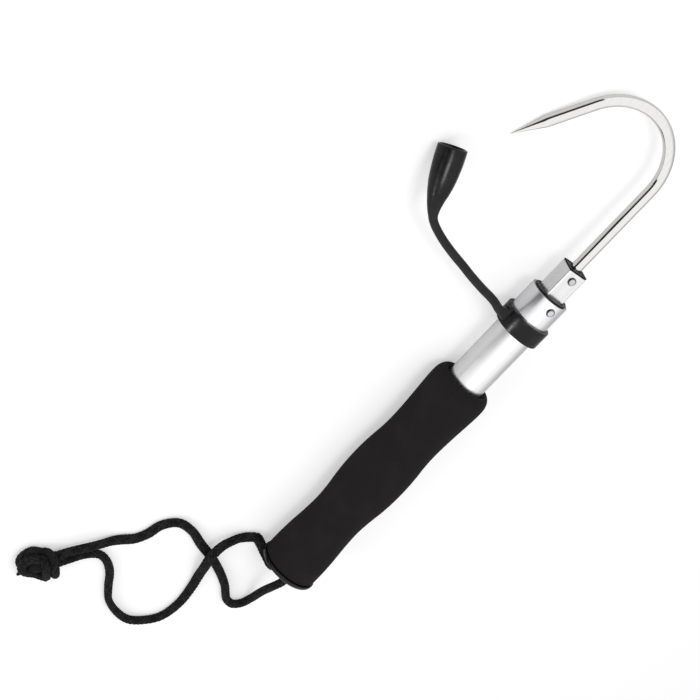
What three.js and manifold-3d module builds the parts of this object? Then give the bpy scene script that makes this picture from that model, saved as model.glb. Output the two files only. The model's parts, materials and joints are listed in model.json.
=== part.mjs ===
// A telescopic hand gaff, pushed closed and lying on a table.
// Millimetres, +Z up, +X from the butt towards the hook, the hook's arm and the guard on the +Y side.
// The round handle rests on its grip and the hook's arm reaches down to the table beside it.
import * as THREE from 'three';
import { mergeVertices } from 'three/addons/utils/BufferGeometryUtils.js';
import Module from 'manifold-3d';

const wasm = await Module();
wasm.setup();

// Driving dimensions of the handle
const tubeDiameter = 22;
const tubeWall = 1;
const handleLength = 220;
const foamThickness = 6.4;
const bareLength = 39.1;

// Driving dimensions of the inner tube and the hook
const squareSide = 12;
const squareWall = 1;
const squareReach = 18.7;
const wireDiameter = 6.4;
const shankReach = 55.9;
const bendRadius = 32.7;
const armLength = 43.8;
const pointLength = 19;

// Driving dimensions of the guard and the lanyard
const ferruleLength = 17.1;
const ringWidth = 9.3;
const ringThickness = 2.6;
const strapWidth = 4.9;
const strapThickness = 3.6;
const capRadius = 7.6;
const capLength = 29.8;
const cordDiameter = 5;

// Clearances
const slip = 0.2;
const seat = 0.3;
const overrun = 1;
const mergeDistance = 0.0001;

// Angles
const quarterTurn = Math.PI / 2;
const fullTurn = Math.PI * 2;
const bendAngle = THREE.MathUtils.degToRad(146.5);

// Facets
const roundSides = 32;
const smallSides = 16;
const wireSides = 14;
const wireSteps = 58;
const cordSides = 10;
const cordSteps = 44;
const strapSides = 12;
const strapSteps = 16;
const filletSteps = 4;
const cornerSteps = 3;

// Radii and stations that follow
const tubeRadius = tubeDiameter / 2;
const boreRadius = tubeRadius - tubeWall;
const squareHalf = squareSide / 2;
const squareBoreHalf = squareHalf - squareWall;
const wireRadius = wireDiameter / 2;
const cordRadius = cordDiameter / 2;
const gripRadius = tubeRadius + slip + foamThickness;
const axisHeight = gripRadius;
const mouthStation = handleLength;
const squareFront = mouthStation + squareReach;
const bendStart = squareFront + shankReach;
const ferruleRear = mouthStation - ferruleLength;
const ringFront = ferruleRear - seat;
const ringStation = ringFront - ringWidth;
const ringRadius = tubeRadius + slip + ringThickness;

// The arm leaves the bend slanting outwards, and its straight part ends where the point begins.
const armStartReach = bendRadius * (1 - Math.cos(bendAngle));
const armStart = new THREE.Vector2(bendStart + bendRadius * Math.sin(bendAngle), armStartReach);
const armDirection = new THREE.Vector2(Math.cos(bendAngle), Math.sin(bendAngle));
const pointStart = armStart.clone().addScaledVector(armDirection, armLength - pointLength);

// The gaff rolls over until the arm touches the table, which sets the lean of the hook's plane.
const lean = Math.asin((axisHeight - wireRadius) / pointStart.y);

// The shared finishes
function finish(color, roughness, metalness) {
  return new THREE.MeshStandardMaterial({ color, roughness, metalness });
}

const brightAluminium = () => finish(0xd9dadc, 0.32, 1);
const greyAluminium = () => finish(0xc4c2c8, 0.35, 1);
const stainless = () => finish(0xcfd1d4, 0.14, 1);
const rivetSteel = () => finish(0xb9babd, 0.25, 1);
const blackFoam = () => finish(0x232122, 0.85, 0);
const blackGloss = () => finish(0x151515, 0.25, 0);
const blackRubber = () => finish(0x1a1a1b, 0.35, 0);
const blackPlastic = () => finish(0x1c1c1d, 0.55, 0);
const whiteNylon = () => finish(0xe6e4dc, 0.5, 0);
const blackCord = () => finish(0x1b1b1c, 0.9, 0);

// A geometry's closed body with its faces pointing out, ready for a cut or a join.
function solid(geometry) {
  const bare = geometry.clone();
  bare.deleteAttribute('normal');
  bare.deleteAttribute('uv');
  const merged = mergeVertices(bare, mergeDistance);
  const positions = merged.attributes.position;
  const kept = [];
  let volume = 0;
  const [a, b, c] = [new THREE.Vector3(), new THREE.Vector3(), new THREE.Vector3()];
  for (let i = 0; i < merged.index.count; i += 3) {
    const corners = [0, 1, 2].map((step) => merged.index.getX(i + step));
    if (new Set(corners).size === 3) {
      kept.push(corners);
      a.fromBufferAttribute(positions, corners[0]);
      b.fromBufferAttribute(positions, corners[1]);
      c.fromBufferAttribute(positions, corners[2]);
      volume += a.dot(b.cross(c));
    }
  }
  const facing = volume < 0 ? kept.map((corners) => corners.reverse()) : kept;
  const mesh = new wasm.Mesh({
    numProp: 3,
    vertProperties: new Float32Array(positions.array),
    triVerts: new Uint32Array(facing.flat()),
  });
  return new wasm.Manifold(mesh);
}

// A solid's surface as a flat-shaded geometry.
function surface(body) {
  const mesh = body.getMesh();
  const geometry = new THREE.BufferGeometry();
  geometry.setAttribute('position', new THREE.BufferAttribute(new Float32Array(mesh.vertProperties), 3));
  geometry.setIndex(new THREE.BufferAttribute(new Uint32Array(mesh.triVerts), 1));
  const flat = geometry.toNonIndexed();
  flat.computeVertexNormals();
  return flat;
}

// The first geometry joined to the others, or with the others cut from it.
function joined(first, ...others) {
  return surface(others.reduce((whole, other) => whole.add(solid(other)), solid(first)));
}

function cut(first, ...others) {
  return surface(others.reduce((whole, other) => whole.subtract(solid(other)), solid(first)));
}

// A profile of [station, radius] pairs turned about the X axis.
function turned(profile, sides = roundSides) {
  const points = profile.map(([station, radius]) => new THREE.Vector2(radius, station));
  return surface(solid(new THREE.LatheGeometry(points, sides).rotateZ(-quarterTurn)));
}

// A tube's closed profile between two stations.
function sleeve(rear, front, inner, outer) {
  return [[rear, inner], [rear, outer], [front, outer], [front, inner], [rear, inner]];
}

// A rounded edge of a turned profile: a quarter circle about its centre, from one angle to another.
function edge(station, radius, size, from, to, steps = filletSteps) {
  const points = [];
  for (let i = 0; i <= steps; i += 1) {
    const angle = from + (to - from) * (i / steps);
    points.push([station + size * Math.cos(angle), radius + size * Math.sin(angle)]);
  }
  return points;
}

// A straight round pin along X, laid to point outwards from the axis at an angle in the Y-Z plane.
function radialPin(profile, station, angle, sides = smallSides) {
  return turned(profile, sides).rotateZ(quarterTurn).rotateX(angle).translate(station, 0, 0);
}

// A plain round pin or drill between two distances from the axis.
function radialRod(radius, from, to, station, angle, sides = smallSides) {
  return radialPin([[from, 0], [from, radius], [to, radius], [to, 0]], station, angle, sides);
}

// A square with rounded corners, centred on the axis.
function roundedSquare(half, corner, Kind = THREE.Shape) {
  const outline = new Kind();
  const inner = half - corner;
  outline.moveTo(half, -inner);
  outline.lineTo(half, inner);
  outline.absarc(inner, inner, corner, 0, quarterTurn, false);
  outline.lineTo(-inner, half);
  outline.absarc(-inner, inner, corner, quarterTurn, quarterTurn * 2, false);
  outline.lineTo(-half, -inner);
  outline.absarc(-inner, -inner, corner, quarterTurn * 2, quarterTurn * 3, false);
  outline.lineTo(inner, -half);
  outline.absarc(inner, -inner, corner, quarterTurn * 3, fullTurn, false);
  return outline;
}

// A flat outline in the Y-Z plane, drawn out along X between two stations.
function prism(outline, rear, front) {
  const settings = { depth: front - rear, bevelEnabled: false, curveSegments: cornerSteps };
  return new THREE.ExtrudeGeometry(outline, settings).rotateY(quarterTurn).translate(rear, 0, 0);
}

// A section drawn along a route.
function drawnAlong(route, section, steps, curveSegments) {
  return new THREE.ExtrudeGeometry(section, { steps, curveSegments, extrudePath: route });
}

function ellipse(halfThickness, halfWidth) {
  return new THREE.Shape().absellipse(0, 0, halfThickness, halfWidth, 0, fullTurn, false, 0);
}

function smoothRoute(points) {
  return new THREE.CatmullRomCurve3(points.map((point) => new THREE.Vector3(...point)), false, 'centripetal');
}

function piece(name, geometry, material) {
  const mesh = new THREE.Mesh(geometry, material);
  mesh.name = name;
  return mesh;
}

const gaff = new THREE.Group();
const handle = new THREE.Group();
const leaning = new THREE.Group();
handle.position.z = axisHeight;
leaning.position.z = axisHeight;
leaning.rotation.x = -lean;
gaff.add(handle, leaning);

// Directions about the axis inside the leaning group: across the hook's plane, and straight down
const frontAngle = quarterTurn;
const backAngle = -quarterTurn;
const downAngle = lean - quarterTurn;
const armSideAngle = 0;

// The butt: a glossy cap with a domed rim, two cord holes and a hollow spigot in the tube
const capFlange = 4.4;
const capFillet = 3.6;
const capWall = 3;
const spigotReach = 13.6;
const spigotWall = 2.3;
const spigotRadius = boreRadius - slip;
const spigotFront = capFlange + spigotReach;
const cordHoleRadius = cordRadius + slip;
const cordHoleSpread = 4.6;
const cordHoleAngle = -Math.PI / 3;

const cordHoleY = cordHoleSpread * Math.cos(cordHoleAngle);
const cordHoleZ = cordHoleSpread * Math.sin(cordHoleAngle);

function cordHole(side) {
  const drill = turned([
    [-overrun, 0],
    [-overrun, cordHoleRadius],
    [capWall + overrun, cordHoleRadius],
    [capWall + overrun, 0],
  ], smallSides);
  return drill.translate(0, side * cordHoleY, side * cordHoleZ);
}

const capShell = turned([
  [0, 0],
  ...edge(capFillet, gripRadius - capFillet, capFillet, Math.PI, quarterTurn),
  [capFlange, gripRadius],
  [capFlange, spigotRadius],
  [spigotFront, spigotRadius],
  [spigotFront, spigotRadius - spigotWall],
  [capWall, spigotRadius - spigotWall],
  [capWall, 0],
]);
handle.add(piece('end_cap', cut(capShell, cordHole(1), cordHole(-1)), blackGloss()));

// The grip: a foam sleeve with a waist, a swell, a second waist and a rounded front lip
const gripRear = capFlange + seat;
const gripFront = ringStation - bareLength;
const gripLength = gripFront - gripRear;
const gripBore = tubeRadius + slip;
const gripLipRadius = gripRadius - slip / 2;

// Pairs of a share of the grip's length and a share of its lip radius
const gripOutlineShares = [
  [0, 0.962], [0.024, 0.966], [0.074, 0.962], [0.133, 0.936], [0.202, 0.888], [0.276, 0.862], [0.341, 0.894],
  [0.41, 0.962], [0.47, 0.995], [0.539, 0.998], [0.598, 0.97], [0.653, 0.924], [0.707, 0.907], [0.767, 0.918],
  [0.832, 0.949], [0.892, 0.983], [0.931, 1], [0.955, 1], [0.98, 0.962], [0.995, 0.88], [1, 0.77],
];
const gripOutline = gripOutlineShares.map(
  ([along, out]) => [gripRear + along * gripLength, out * gripLipRadius]);
handle.add(piece('grip', turned([
  [gripRear, gripBore],
  ...gripOutline,
  [gripFront, gripBore],
  [gripRear, gripBore],
]), blackFoam()));

// The telescoping run: the guide's collar meets the bush at full reach
const tubeRear = capFlange + seat;
const bushLength = 20;
const bushFlange = 1.3;
const collarLength = 16;
const closedGap = 2;
const collarRear = spigotFront + closedGap;
const collarFront = collarRear + collarLength;
const bushRear = mouthStation - bushLength;
const fullReach = bushRear - collarFront - seat;

// The lock: a spring button in the guide, and the hole that it finds at full reach
const buttonRadius = 2.4;
const buttonDome = 0.9;
const buttonLength = 6.5;
const buttonTip = boreRadius - seat;
const buttonInset = 6;
const buttonStation = collarRear + buttonInset;
const lockHoleRadius = buttonRadius + seat;

const outerTube = turned(sleeve(tubeRear, mouthStation, boreRadius, tubeRadius));
const lockHole = radialRod(
  lockHoleRadius, boreRadius - overrun, tubeRadius + overrun, buttonStation + fullReach, -quarterTurn);

// The mouth: a thin ferrule, and a bush that the square tube runs in, held by two rivets
const ferruleWall = 0.45;
const ferruleBore = tubeRadius + slip;
const ferruleRadius = ferruleBore + ferruleWall;
const bushRadius = boreRadius - slip;
const bushFlangeRadius = tubeRadius - 2 * slip;
const squareCorner = 0.9;
const runningGap = 0.25;
const rivetRadius = 1.5;
const rivetHeadRadius = 2.35;
const rivetHeadHeight = 1.1;
const rivetInset = 4.6;
const rivetHoleRadius = rivetRadius + slip;
const bushSquareHalf = squareHalf + runningGap;
const bushRivetStation = mouthStation - rivetInset;
const bushRivetDepth = bushSquareHalf + squareWall;

function rivetHole(angle, from) {
  return radialRod(rivetHoleRadius, from, ferruleRadius + overrun, bushRivetStation, angle);
}

// The outer tube and the ferrule stand level, so their rivet holes lean with the hook's plane.
const levelFront = frontAngle - lean;
const levelBack = backAngle - lean;
handle.add(piece('outer_tube', cut(
  outerTube,
  lockHole,
  rivetHole(levelFront, bushRivetDepth),
  rivetHole(levelBack, bushRivetDepth),
), brightAluminium()));
handle.add(piece('mouth_ferrule', cut(
  turned(sleeve(ferruleRear, mouthStation, ferruleBore, ferruleRadius)),
  rivetHole(levelFront, bushRivetDepth),
  rivetHole(levelBack, bushRivetDepth),
), greyAluminium()));

const flangeRear = mouthStation + slip;
const flangeFront = flangeRear + bushFlange;
const bushBlank = turned([
  [bushRear, 0],
  [bushRear, bushRadius],
  [flangeRear, bushRadius],
  [flangeRear, bushFlangeRadius],
  [flangeFront - slip, bushFlangeRadius],
  [flangeFront, bushFlangeRadius - slip],
  [flangeFront, 0],
]);
const bushWindow = prism(
  roundedSquare(bushSquareHalf, squareCorner), bushRear - overrun, flangeFront + overrun);
leaning.add(piece('mouth_bush', cut(
  bushBlank,
  bushWindow,
  rivetHole(frontAngle, bushRivetDepth),
  rivetHole(backAngle, bushRivetDepth),
), blackPlastic()));

// A dome's profile from its rim to its crown on the axis
function dome(rim, height, radius) {
  const points = [];
  for (let i = 0; i < filletSteps; i += 1) {
    const angle = quarterTurn * (i / filletSteps);
    points.push([rim + height * Math.sin(angle), radius * Math.cos(angle)]);
  }
  return [...points, [rim + height, 0]];
}

// A rivet's head, from its shank under the head to the crown
function rivetHead(underHead) {
  return [[underHead, rivetRadius], ...dome(underHead, rivetHeadHeight, rivetHeadRadius)];
}

const bushRivetEnd = bushRivetDepth + seat;
const bushRivet = [[bushRivetEnd, 0], [bushRivetEnd, rivetRadius], ...rivetHead(ferruleRadius + slip)];
leaning.add(piece('bush_rivet_front', radialPin(bushRivet, bushRivetStation, frontAngle), rivetSteel()));
leaning.add(piece('bush_rivet_back', radialPin(bushRivet, bushRivetStation, backAngle), rivetSteel()));

// The square tube and what it carries at its two ends
const plugRivetStation = squareFront - rivetInset;
const spigotLength = 16;
const squareRear = collarFront + seat;
const guidePinRadius = 1;
const guidePinStation = squareRear + spigotLength / 2;
const innerCorner = 0.4;
const plugHalf = squareBoreHalf - slip;
const squareOutline = roundedSquare(squareHalf, squareCorner);
squareOutline.holes.push(roundedSquare(squareBoreHalf, innerCorner, THREE.Path));

const rivetBore = radialRod(rivetHoleRadius, -squareSide, squareSide, plugRivetStation, frontAngle);
const pinBore = radialRod(guidePinRadius + slip, -squareSide, squareSide, guidePinStation, armSideAngle);
leaning.add(piece('inner_tube', cut(
  prism(squareOutline, squareRear, squareFront),
  rivetBore,
  pinBore,
), brightAluminium()));

// The plug is bored for the wire, and its brim covers the tube's end.
const plugLength = 24;
const plugBrim = 0.8;
const plugBrimRear = squareFront + slip;
const plugFront = plugBrimRear + plugBrim;
const plugRear = plugFront - plugLength;
const wireBore = turned([
  [plugRear - overrun, 0],
  [plugRear - overrun, wireRadius + slip],
  [plugFront + overrun, wireRadius + slip],
  [plugFront + overrun, 0],
], smallSides);
const plugStem = prism(roundedSquare(plugHalf, innerCorner), plugRear, plugFront);
const plugHead = prism(roundedSquare(squareHalf, squareCorner), plugBrimRear, plugFront);
leaning.add(piece('hook_plug', cut(joined(plugStem, plugHead), wireBore, rivetBore), blackPlastic()));

// The hook: a straight shank, a round bend and a straight arm that ends in a cone
const shankRear = plugRear + overrun;
class Bend extends THREE.Curve {
  getPoint(t, target = new THREE.Vector3()) {
    const angle = bendAngle * t;
    return target.set(
      bendStart + bendRadius * Math.sin(angle), bendRadius * (1 - Math.cos(angle)), 0);
  }
}
const wireRoute = new THREE.CurvePath();
const armTip = armStart.clone().addScaledVector(armDirection, armLength);
wireRoute.add(new THREE.LineCurve3(new THREE.Vector3(shankRear, 0, 0), new THREE.Vector3(bendStart, 0, 0)));
wireRoute.add(new Bend());
wireRoute.add(new THREE.LineCurve3(
  new THREE.Vector3(armStart.x, armStart.y, 0), new THREE.Vector3(armTip.x, armTip.y, 0)));

// Draws the wire's last stretch in to a point, nearly sharp.
const tipShare = 0.04;
function sharpened(geometry) {
  const positions = geometry.attributes.position;
  const corner = new THREE.Vector3();
  for (let i = 0; i < positions.count; i += 1) {
    corner.fromBufferAttribute(positions, i);
    const along = (corner.x - pointStart.x) * armDirection.x + (corner.y - pointStart.y) * armDirection.y;
    if (along > 0 && corner.y > bendRadius) {
      const middleX = pointStart.x + along * armDirection.x;
      const middleY = pointStart.y + along * armDirection.y;
      const share = 1 - (1 - tipShare) * Math.min(1, along / pointLength);
      positions.setXYZ(
        i, middleX + (corner.x - middleX) * share, middleY + (corner.y - middleY) * share, corner.z * share);
    }
  }
  return geometry;
}

const wire = drawnAlong(wireRoute, ellipse(wireRadius, wireRadius), wireSteps, wireSides / 2);
leaning.add(piece('hook', cut(sharpened(wire), rivetBore), stainless()));

// One rivet runs right through tube, plug and shank, with a head on each side.
const nearHead = rivetHead(squareHalf + slip);
const farHead = nearHead.map(([station, radius]) => [-station, radius]).reverse();
const plugRivet = [...farHead, ...nearHead];
leaning.add(piece('plug_rivet', radialPin(plugRivet, plugRivetStation, frontAngle), rivetSteel()));

// The tail guide: a round collar that runs in the outer tube, and a spigot in the square tube
const guideRadius = boreRadius - seat;
const springLength = 6.1;
const springGap = seat;
const springInner = buttonTip - buttonLength - springGap - springLength;
const buttonBoreEnd = springInner - springGap;
const buttonBore = radialRod(lockHoleRadius, buttonBoreEnd, boreRadius + overrun, buttonStation, downAngle);
const collarChamfer = 0.8;
const collar = turned([
  [collarRear, 0],
  [collarRear, guideRadius - collarChamfer],
  [collarRear + collarChamfer, guideRadius],
  [collarFront, guideRadius],
  [collarFront, 0],
]);
const spigot = prism(
  roundedSquare(plugHalf, innerCorner), collarFront - overrun, squareRear + spigotLength);
leaning.add(piece('tail_guide', cut(joined(collar, spigot), buttonBore, pinBore), whiteNylon()));

const pinHalf = squareHalf - slip;
leaning.add(piece('guide_pin', radialRod(
  guidePinRadius, -pinHalf, pinHalf, guidePinStation, armSideAngle), rivetSteel()));

const buttonHeel = buttonTip - buttonLength;
leaning.add(piece('lock_button', radialPin([
  [buttonHeel, 0],
  [buttonHeel, buttonRadius],
  ...dome(buttonTip - buttonDome, buttonDome, buttonRadius),
], buttonStation, downAngle), stainless()));

// The coil spring under the button: one unbroken wire
const springWire = 0.6;
const springRadius = 1.7;
const springTurns = 4;
const stepsPerTurn = 8;
const springSides = 5;
const springRise = (springLength - springWire) / springTurns;
class Coil extends THREE.Curve {
  getPoint(t, target = new THREE.Vector3()) {
    const angle = fullTurn * springTurns * t;
    return target.set(
      springInner + springWire / 2 + springRise * springTurns * t,
      springRadius * Math.cos(angle),
      springRadius * Math.sin(angle),
    );
  }
}

// The least gap between the coil's neighbouring turns, measured on its points.
function leastCoilGap() {
  const points = new Coil().getPoints(springTurns * stepsPerTurn);
  let least = springLength;
  points.forEach((from, i) => {
    points.slice(i + stepsPerTurn / 2).forEach((to) => {
      least = Math.min(least, from.distanceTo(to) - springWire);
    });
  });
  return least;
}
console.log(`least gap between the spring's turns: ${leastCoilGap().toFixed(2)} mm`);

const springSection = ellipse(springWire / 2, springWire / 2);
const coil = drawnAlong(new Coil(), springSection, springTurns * stepsPerTurn, springSides);
leaning.add(piece('lock_spring', surface(solid(coil)).rotateZ(quarterTurn).rotateX(downAngle)
  .translate(buttonStation, 0, 0), stainless()));

// The guard: a collar on the tube, a strap that stands out from it and a hollow cap for the point
const ringEdge = 1.4;
const ringInner = tubeRadius + slip;
handle.add(piece('guard_ring', turned([
  [ringStation, ringInner],
  ...edge(ringStation + ringEdge, ringRadius - ringEdge, ringEdge, Math.PI, quarterTurn),
  ...edge(ringFront - ringEdge, ringRadius - ringEdge, ringEdge, quarterTurn, 0),
  [ringFront, ringInner],
  [ringStation, ringInner],
]), blackRubber()));

// Pairs of a share of the cap's length and a share of its radius, outside
const capOutsideShares = [[0.09, 0.56], [0.2, 0.71], [0.42, 0.88], [0.7, 0.99], [0.97, 1], [1, 0.96]];
const [, capLipShare] = capOutsideShares[capOutsideShares.length - 1];

// The strap keeps about the tube's height, and the cap dives from its end to rest on the table by its lip.
const neckForward = 32.5;
const neckReach = 87.25;
const neckRadius = 3;
const capHeading = THREE.MathUtils.degToRad(10.9);
const capDive = THREE.MathUtils.degToRad(25.6);
const neckHeight = capLength * Math.sin(capDive) + capLipShare * capRadius * Math.cos(capDive);
const capDirection = new THREE.Vector3(
  Math.cos(capHeading) * Math.cos(capDive), Math.sin(capHeading) * Math.cos(capDive), -Math.sin(capDive));
const strapHalf = strapWidth / 2;
const strapRoot = new THREE.Vector3(ringStation + ringWidth / 2, ringRadius + seat + strapHalf, axisHeight);
const capNeck = new THREE.Vector3(strapRoot.x + neckForward, strapRoot.y + neckReach, neckHeight);
const strapEnd = capNeck.clone().addScaledVector(capDirection, -seat - strapHalf);

// Shares of the way from root to neck: forwards, outwards, and up
const strapRouteShares = [
  [0, 0, 0], [0.025, 0.03, 0], [0.122, 0.125, 0], [0.206, 0.263, 0.05], [0.297, 0.395, 0.16],
  [0.395, 0.52, 0.32], [0.49, 0.646, 0.54], [0.593, 0.763, 0.78], [0.71, 0.87, 1.1], [0.775, 0.917, 1.26],
  [0.85, 0.959, 1.4],
];
const strapRoute = smoothRoute([
  ...strapRouteShares.map(([forward, out, up]) => [
    strapRoot.x + forward * neckForward,
    strapRoot.y + out * neckReach,
    strapRoot.z + up * (neckHeight - strapRoot.z),
  ]),
  strapEnd.toArray(),
]);

// Both ends are round about the upright lines that the strap and the cap turn on.
function strapBall(at, facing) {
  const ball = new THREE.SphereGeometry(strapHalf, strapSides * 2, strapSides);
  return ball.rotateX(quarterTurn).scale(1, 1, strapThickness / strapWidth)
    .applyQuaternion(new THREE.Quaternion().setFromUnitVectors(new THREE.Vector3(1, 0, 0), facing))
    .translate(at.x, at.y, at.z);
}
const strapBand = drawnAlong(
  strapRoute, ellipse(strapThickness / 2, strapHalf), strapSteps, strapSides / 2);
const rootBall = strapBall(strapRoot, new THREE.Vector3(1, 0, 0));
const endBall = strapBall(strapEnd, capDirection);
gaff.add(piece('guard_strap', joined(strapBand, rootBall, endBall), blackRubber()));

const capRim = 1.6;
const capMouthRadius = capRadius - capRim;
const capBoreRadius = 2.6;

// Where the bore narrows and where it ends, in shares of the cap's length
const capWaistShare = 0.6;
const capWaistWidthShare = 1.5;
const capEndShare = 0.32;
const guardCap = piece('guard_cap', turned([
  [0, 0],
  [0, neckRadius],
  ...capOutsideShares.map(([along, out]) => [along * capLength, out * capRadius]),
  [capLength, capMouthRadius],
  [capWaistShare * capLength, capWaistWidthShare * capBoreRadius],
  [capEndShare * capLength, capBoreRadius],
  [capEndShare * capLength, 0],
]), blackRubber());
guardCap.position.copy(capNeck);
guardCap.quaternion.setFromUnitVectors(new THREE.Vector3(1, 0, 0), capDirection);
gaff.add(guardCap);

// The lanyard: one cord through the cap's two holes, its legs knotted together at the far end
const upperRoute = [
  [0, 2.3, 13.6], [-2, 2.4, 13.45], [-4.1, 2.7, 12.4], [-5.6, 3.3, 10], [-4.6, 5.4, 4],
  [2.9, 17.6, 2.7], [2.8, 20.5, 3.1], [0.5, 24.5, 2.7], [-1.7, 31, 4.5], [-6.7, 37.3, 6.8],
  [-14.3, 39.6, 8.2], [-22.7, 37.1, 7], [-32.1, 32.4, 3.8], [-43.6, 28.6, 2.6], [-57.6, 27.3, 2.6],
  [-70.1, 30.9, 2.6], [-76.6, 39.4, 2.6], [-79, 48, 2.6], [-76.5, 58.1, 2.6], [-70.1, 69, 2.6],
  [-60.9, 76.4, 2.6], [-51.6, 82.6, 2.6], [-45, 90, 2.6], [-42.6, 97.4, 2.6], [-45.7, 104.6, 2.6],
  [-51.4, 110.4, 2.8], [-55.9, 116, 4],
];
const lowerRoute = [
  [0, -2.3, 21.6], [-6, -2.2, 21], [-13.7, -2.4, 17.8], [-21.8, -5, 12.6], [-29.6, -8.4, 7.6],
  [-36.8, -10.3, 4.2], [-42.8, -9, 2.8], [-45.5, -4.4, 2.6], [-43.8, 1.6, 2.6], [-39.8, 6, 2.6],
  [-35.2, 10.3, 2.6], [-30.3, 16.5, 2.6], [-25, 24.4, 2.6], [-19.4, 34.4, 2.6], [-13.8, 46.5, 2.6],
  [-7.6, 58.2, 2.6], [-5.7, 69.7, 2.6], [-11.3, 77.4, 2.6], [-19.8, 80.5, 2.6], [-25.6, 85.1, 2.6],
  [-28.8, 91.2, 2.6], [-31.4, 97.1, 3.4], [-34, 102.9, 5], [-37.7, 107.9, 5.6], [-41.9, 112.5, 5.4],
  [-46.6, 116.9, 5], [-50.9, 120.2, 4.6],
];

function leg(route) {
  return surface(solid(drawnAlong(
    smoothRoute(route), ellipse(cordRadius, cordRadius), cordSteps, cordSides / 2)));
}

gaff.add(piece('lanyard_upper_leg', leg(upperRoute), blackCord()));
gaff.add(piece('lanyard_lower_leg', leg(lowerRoute), blackCord()));

// The cord's turn inside the cap: in by one hole, round, and out by the other
const bightStraight = capWall + overrun;
const bightSteps = 16;
class Bight extends THREE.Curve {
  getPoint(t, target = new THREE.Vector3()) {
    const run = bightStraight - seat;
    const arc = Math.PI * cordHoleSpread;
    const way = t * (2 * run + arc);
    const turn = Math.min(Math.max((way - run) / cordHoleSpread, 0), Math.PI);
    const past = Math.max(way - run - arc, 0);
    const side = cordHoleSpread * Math.cos(turn);
    const depth = seat + Math.min(way, run) + cordHoleSpread * Math.sin(turn) - past;
    return target.set(depth, side * Math.cos(cordHoleAngle), side * Math.sin(cordHoleAngle));
  }
}
handle.add(piece('lanyard_bight', surface(solid(drawnAlong(
  new Bight(), ellipse(cordRadius, cordRadius), bightSteps, cordSides / 2))), blackCord()));

// The knot: a lump lying on the table round the two legs' ends, with a short tail
const knotHalf = new THREE.Vector3(12.5, 9.6, 6.6);
const knotCentre = new THREE.Vector3(-59.5, 128.2, knotHalf.z);
const knotHeading = THREE.MathUtils.degToRad(122);
const knotSides = 20;
const knotRings = 12;
const tailLength = 7;
const tailRadius = 2.2;
const tailTilt = THREE.MathUtils.degToRad(20);
const socketDepth = 12;

function legSocket(route) {
  const end = new THREE.Vector3(...route[route.length - 1]);
  const back = new THREE.Vector3(...route[route.length - 2]).sub(end).normalize();
  const drill = turned([
    [-seat, 0],
    [-seat, cordRadius + seat],
    [socketDepth, cordRadius + seat],
    [socketDepth, 0],
  ], smallSides);
  const turn = new THREE.Quaternion().setFromUnitVectors(new THREE.Vector3(1, 0, 0), back);
  return drill.applyQuaternion(turn).translate(end.x, end.y, end.z);
}

const lump = new THREE.SphereGeometry(1, knotSides, knotRings).scale(knotHalf.x, knotHalf.y, knotHalf.z);
const tail = turned([
  [knotHalf.x - tailLength, 0],
  [knotHalf.x - tailLength, tailRadius],
  [knotHalf.x, tailRadius],
  [knotHalf.x + tailLength / 2, tailRadius / 4],
  [knotHalf.x + tailLength / 2, 0],
], smallSides).translate(0, 0, tailRadius - knotHalf.z / 2).rotateZ(tailTilt);
const knot = surface(solid(lump).add(solid(tail)));
knot.rotateZ(knotHeading).translate(knotCentre.x, knotCentre.y, knotCentre.z);
gaff.add(piece('lanyard_knot', cut(knot, legSocket(upperRoute), legSocket(lowerRoute)), blackCord()));

// The origin: on the table, under the middle of all but the lanyard
const extent = new THREE.Box3();
gaff.updateMatrixWorld(true);
gaff.traverse((object) => {
  if (object.isMesh && !object.name.startsWith('lanyard')) {
    extent.union(new THREE.Box3().setFromObject(object, true));
  }
});
const middle = extent.getCenter(new THREE.Vector3());
gaff.position.set(-middle.x, -middle.y, -extent.min.z);
const part = new THREE.Group();
part.add(gaff);
export default part;
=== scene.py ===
"""A telescopic hand gaff, pushed closed and lying on a table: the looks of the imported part.

Sizes are in millimetres, measured from the rear face of the butt, and are laid in the part's own frame
in metres as each mesh is made. The round handle lies along X and the hook's arm comes down on the +Y side.
"""
import json
import logging
import math
from dataclasses import dataclass, field
from enum import Enum
from typing import Any, Sequence

import bmesh
import bpy
from mathutils import Matrix, Vector

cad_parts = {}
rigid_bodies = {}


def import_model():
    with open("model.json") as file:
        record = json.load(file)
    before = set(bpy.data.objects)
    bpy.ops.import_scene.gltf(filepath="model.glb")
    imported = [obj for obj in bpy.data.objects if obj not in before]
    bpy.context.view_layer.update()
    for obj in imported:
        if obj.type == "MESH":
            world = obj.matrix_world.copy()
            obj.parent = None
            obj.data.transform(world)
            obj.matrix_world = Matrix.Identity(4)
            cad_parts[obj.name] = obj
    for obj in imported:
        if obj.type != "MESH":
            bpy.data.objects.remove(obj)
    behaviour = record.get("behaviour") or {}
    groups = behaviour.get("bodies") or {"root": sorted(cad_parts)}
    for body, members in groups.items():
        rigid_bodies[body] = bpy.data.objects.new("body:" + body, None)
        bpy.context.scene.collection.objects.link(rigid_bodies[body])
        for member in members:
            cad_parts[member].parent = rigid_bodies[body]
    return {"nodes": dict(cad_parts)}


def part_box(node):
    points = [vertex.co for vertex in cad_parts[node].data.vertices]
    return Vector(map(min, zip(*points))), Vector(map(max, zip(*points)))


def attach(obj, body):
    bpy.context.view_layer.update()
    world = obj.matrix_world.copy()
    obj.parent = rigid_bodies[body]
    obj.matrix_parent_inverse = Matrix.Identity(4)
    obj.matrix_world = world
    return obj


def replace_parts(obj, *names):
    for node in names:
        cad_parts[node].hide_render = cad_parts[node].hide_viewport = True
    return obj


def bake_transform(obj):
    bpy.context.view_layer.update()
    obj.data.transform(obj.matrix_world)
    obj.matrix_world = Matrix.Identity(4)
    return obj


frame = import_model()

LOG = logging.getLogger("gaff")
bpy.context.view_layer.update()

MM = 0.001
TUBE_RADIUS = 11.0
GRIP_RADIUS = 17.6
WIRE_RADIUS = 3.2
BEND_START = 294.6
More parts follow.
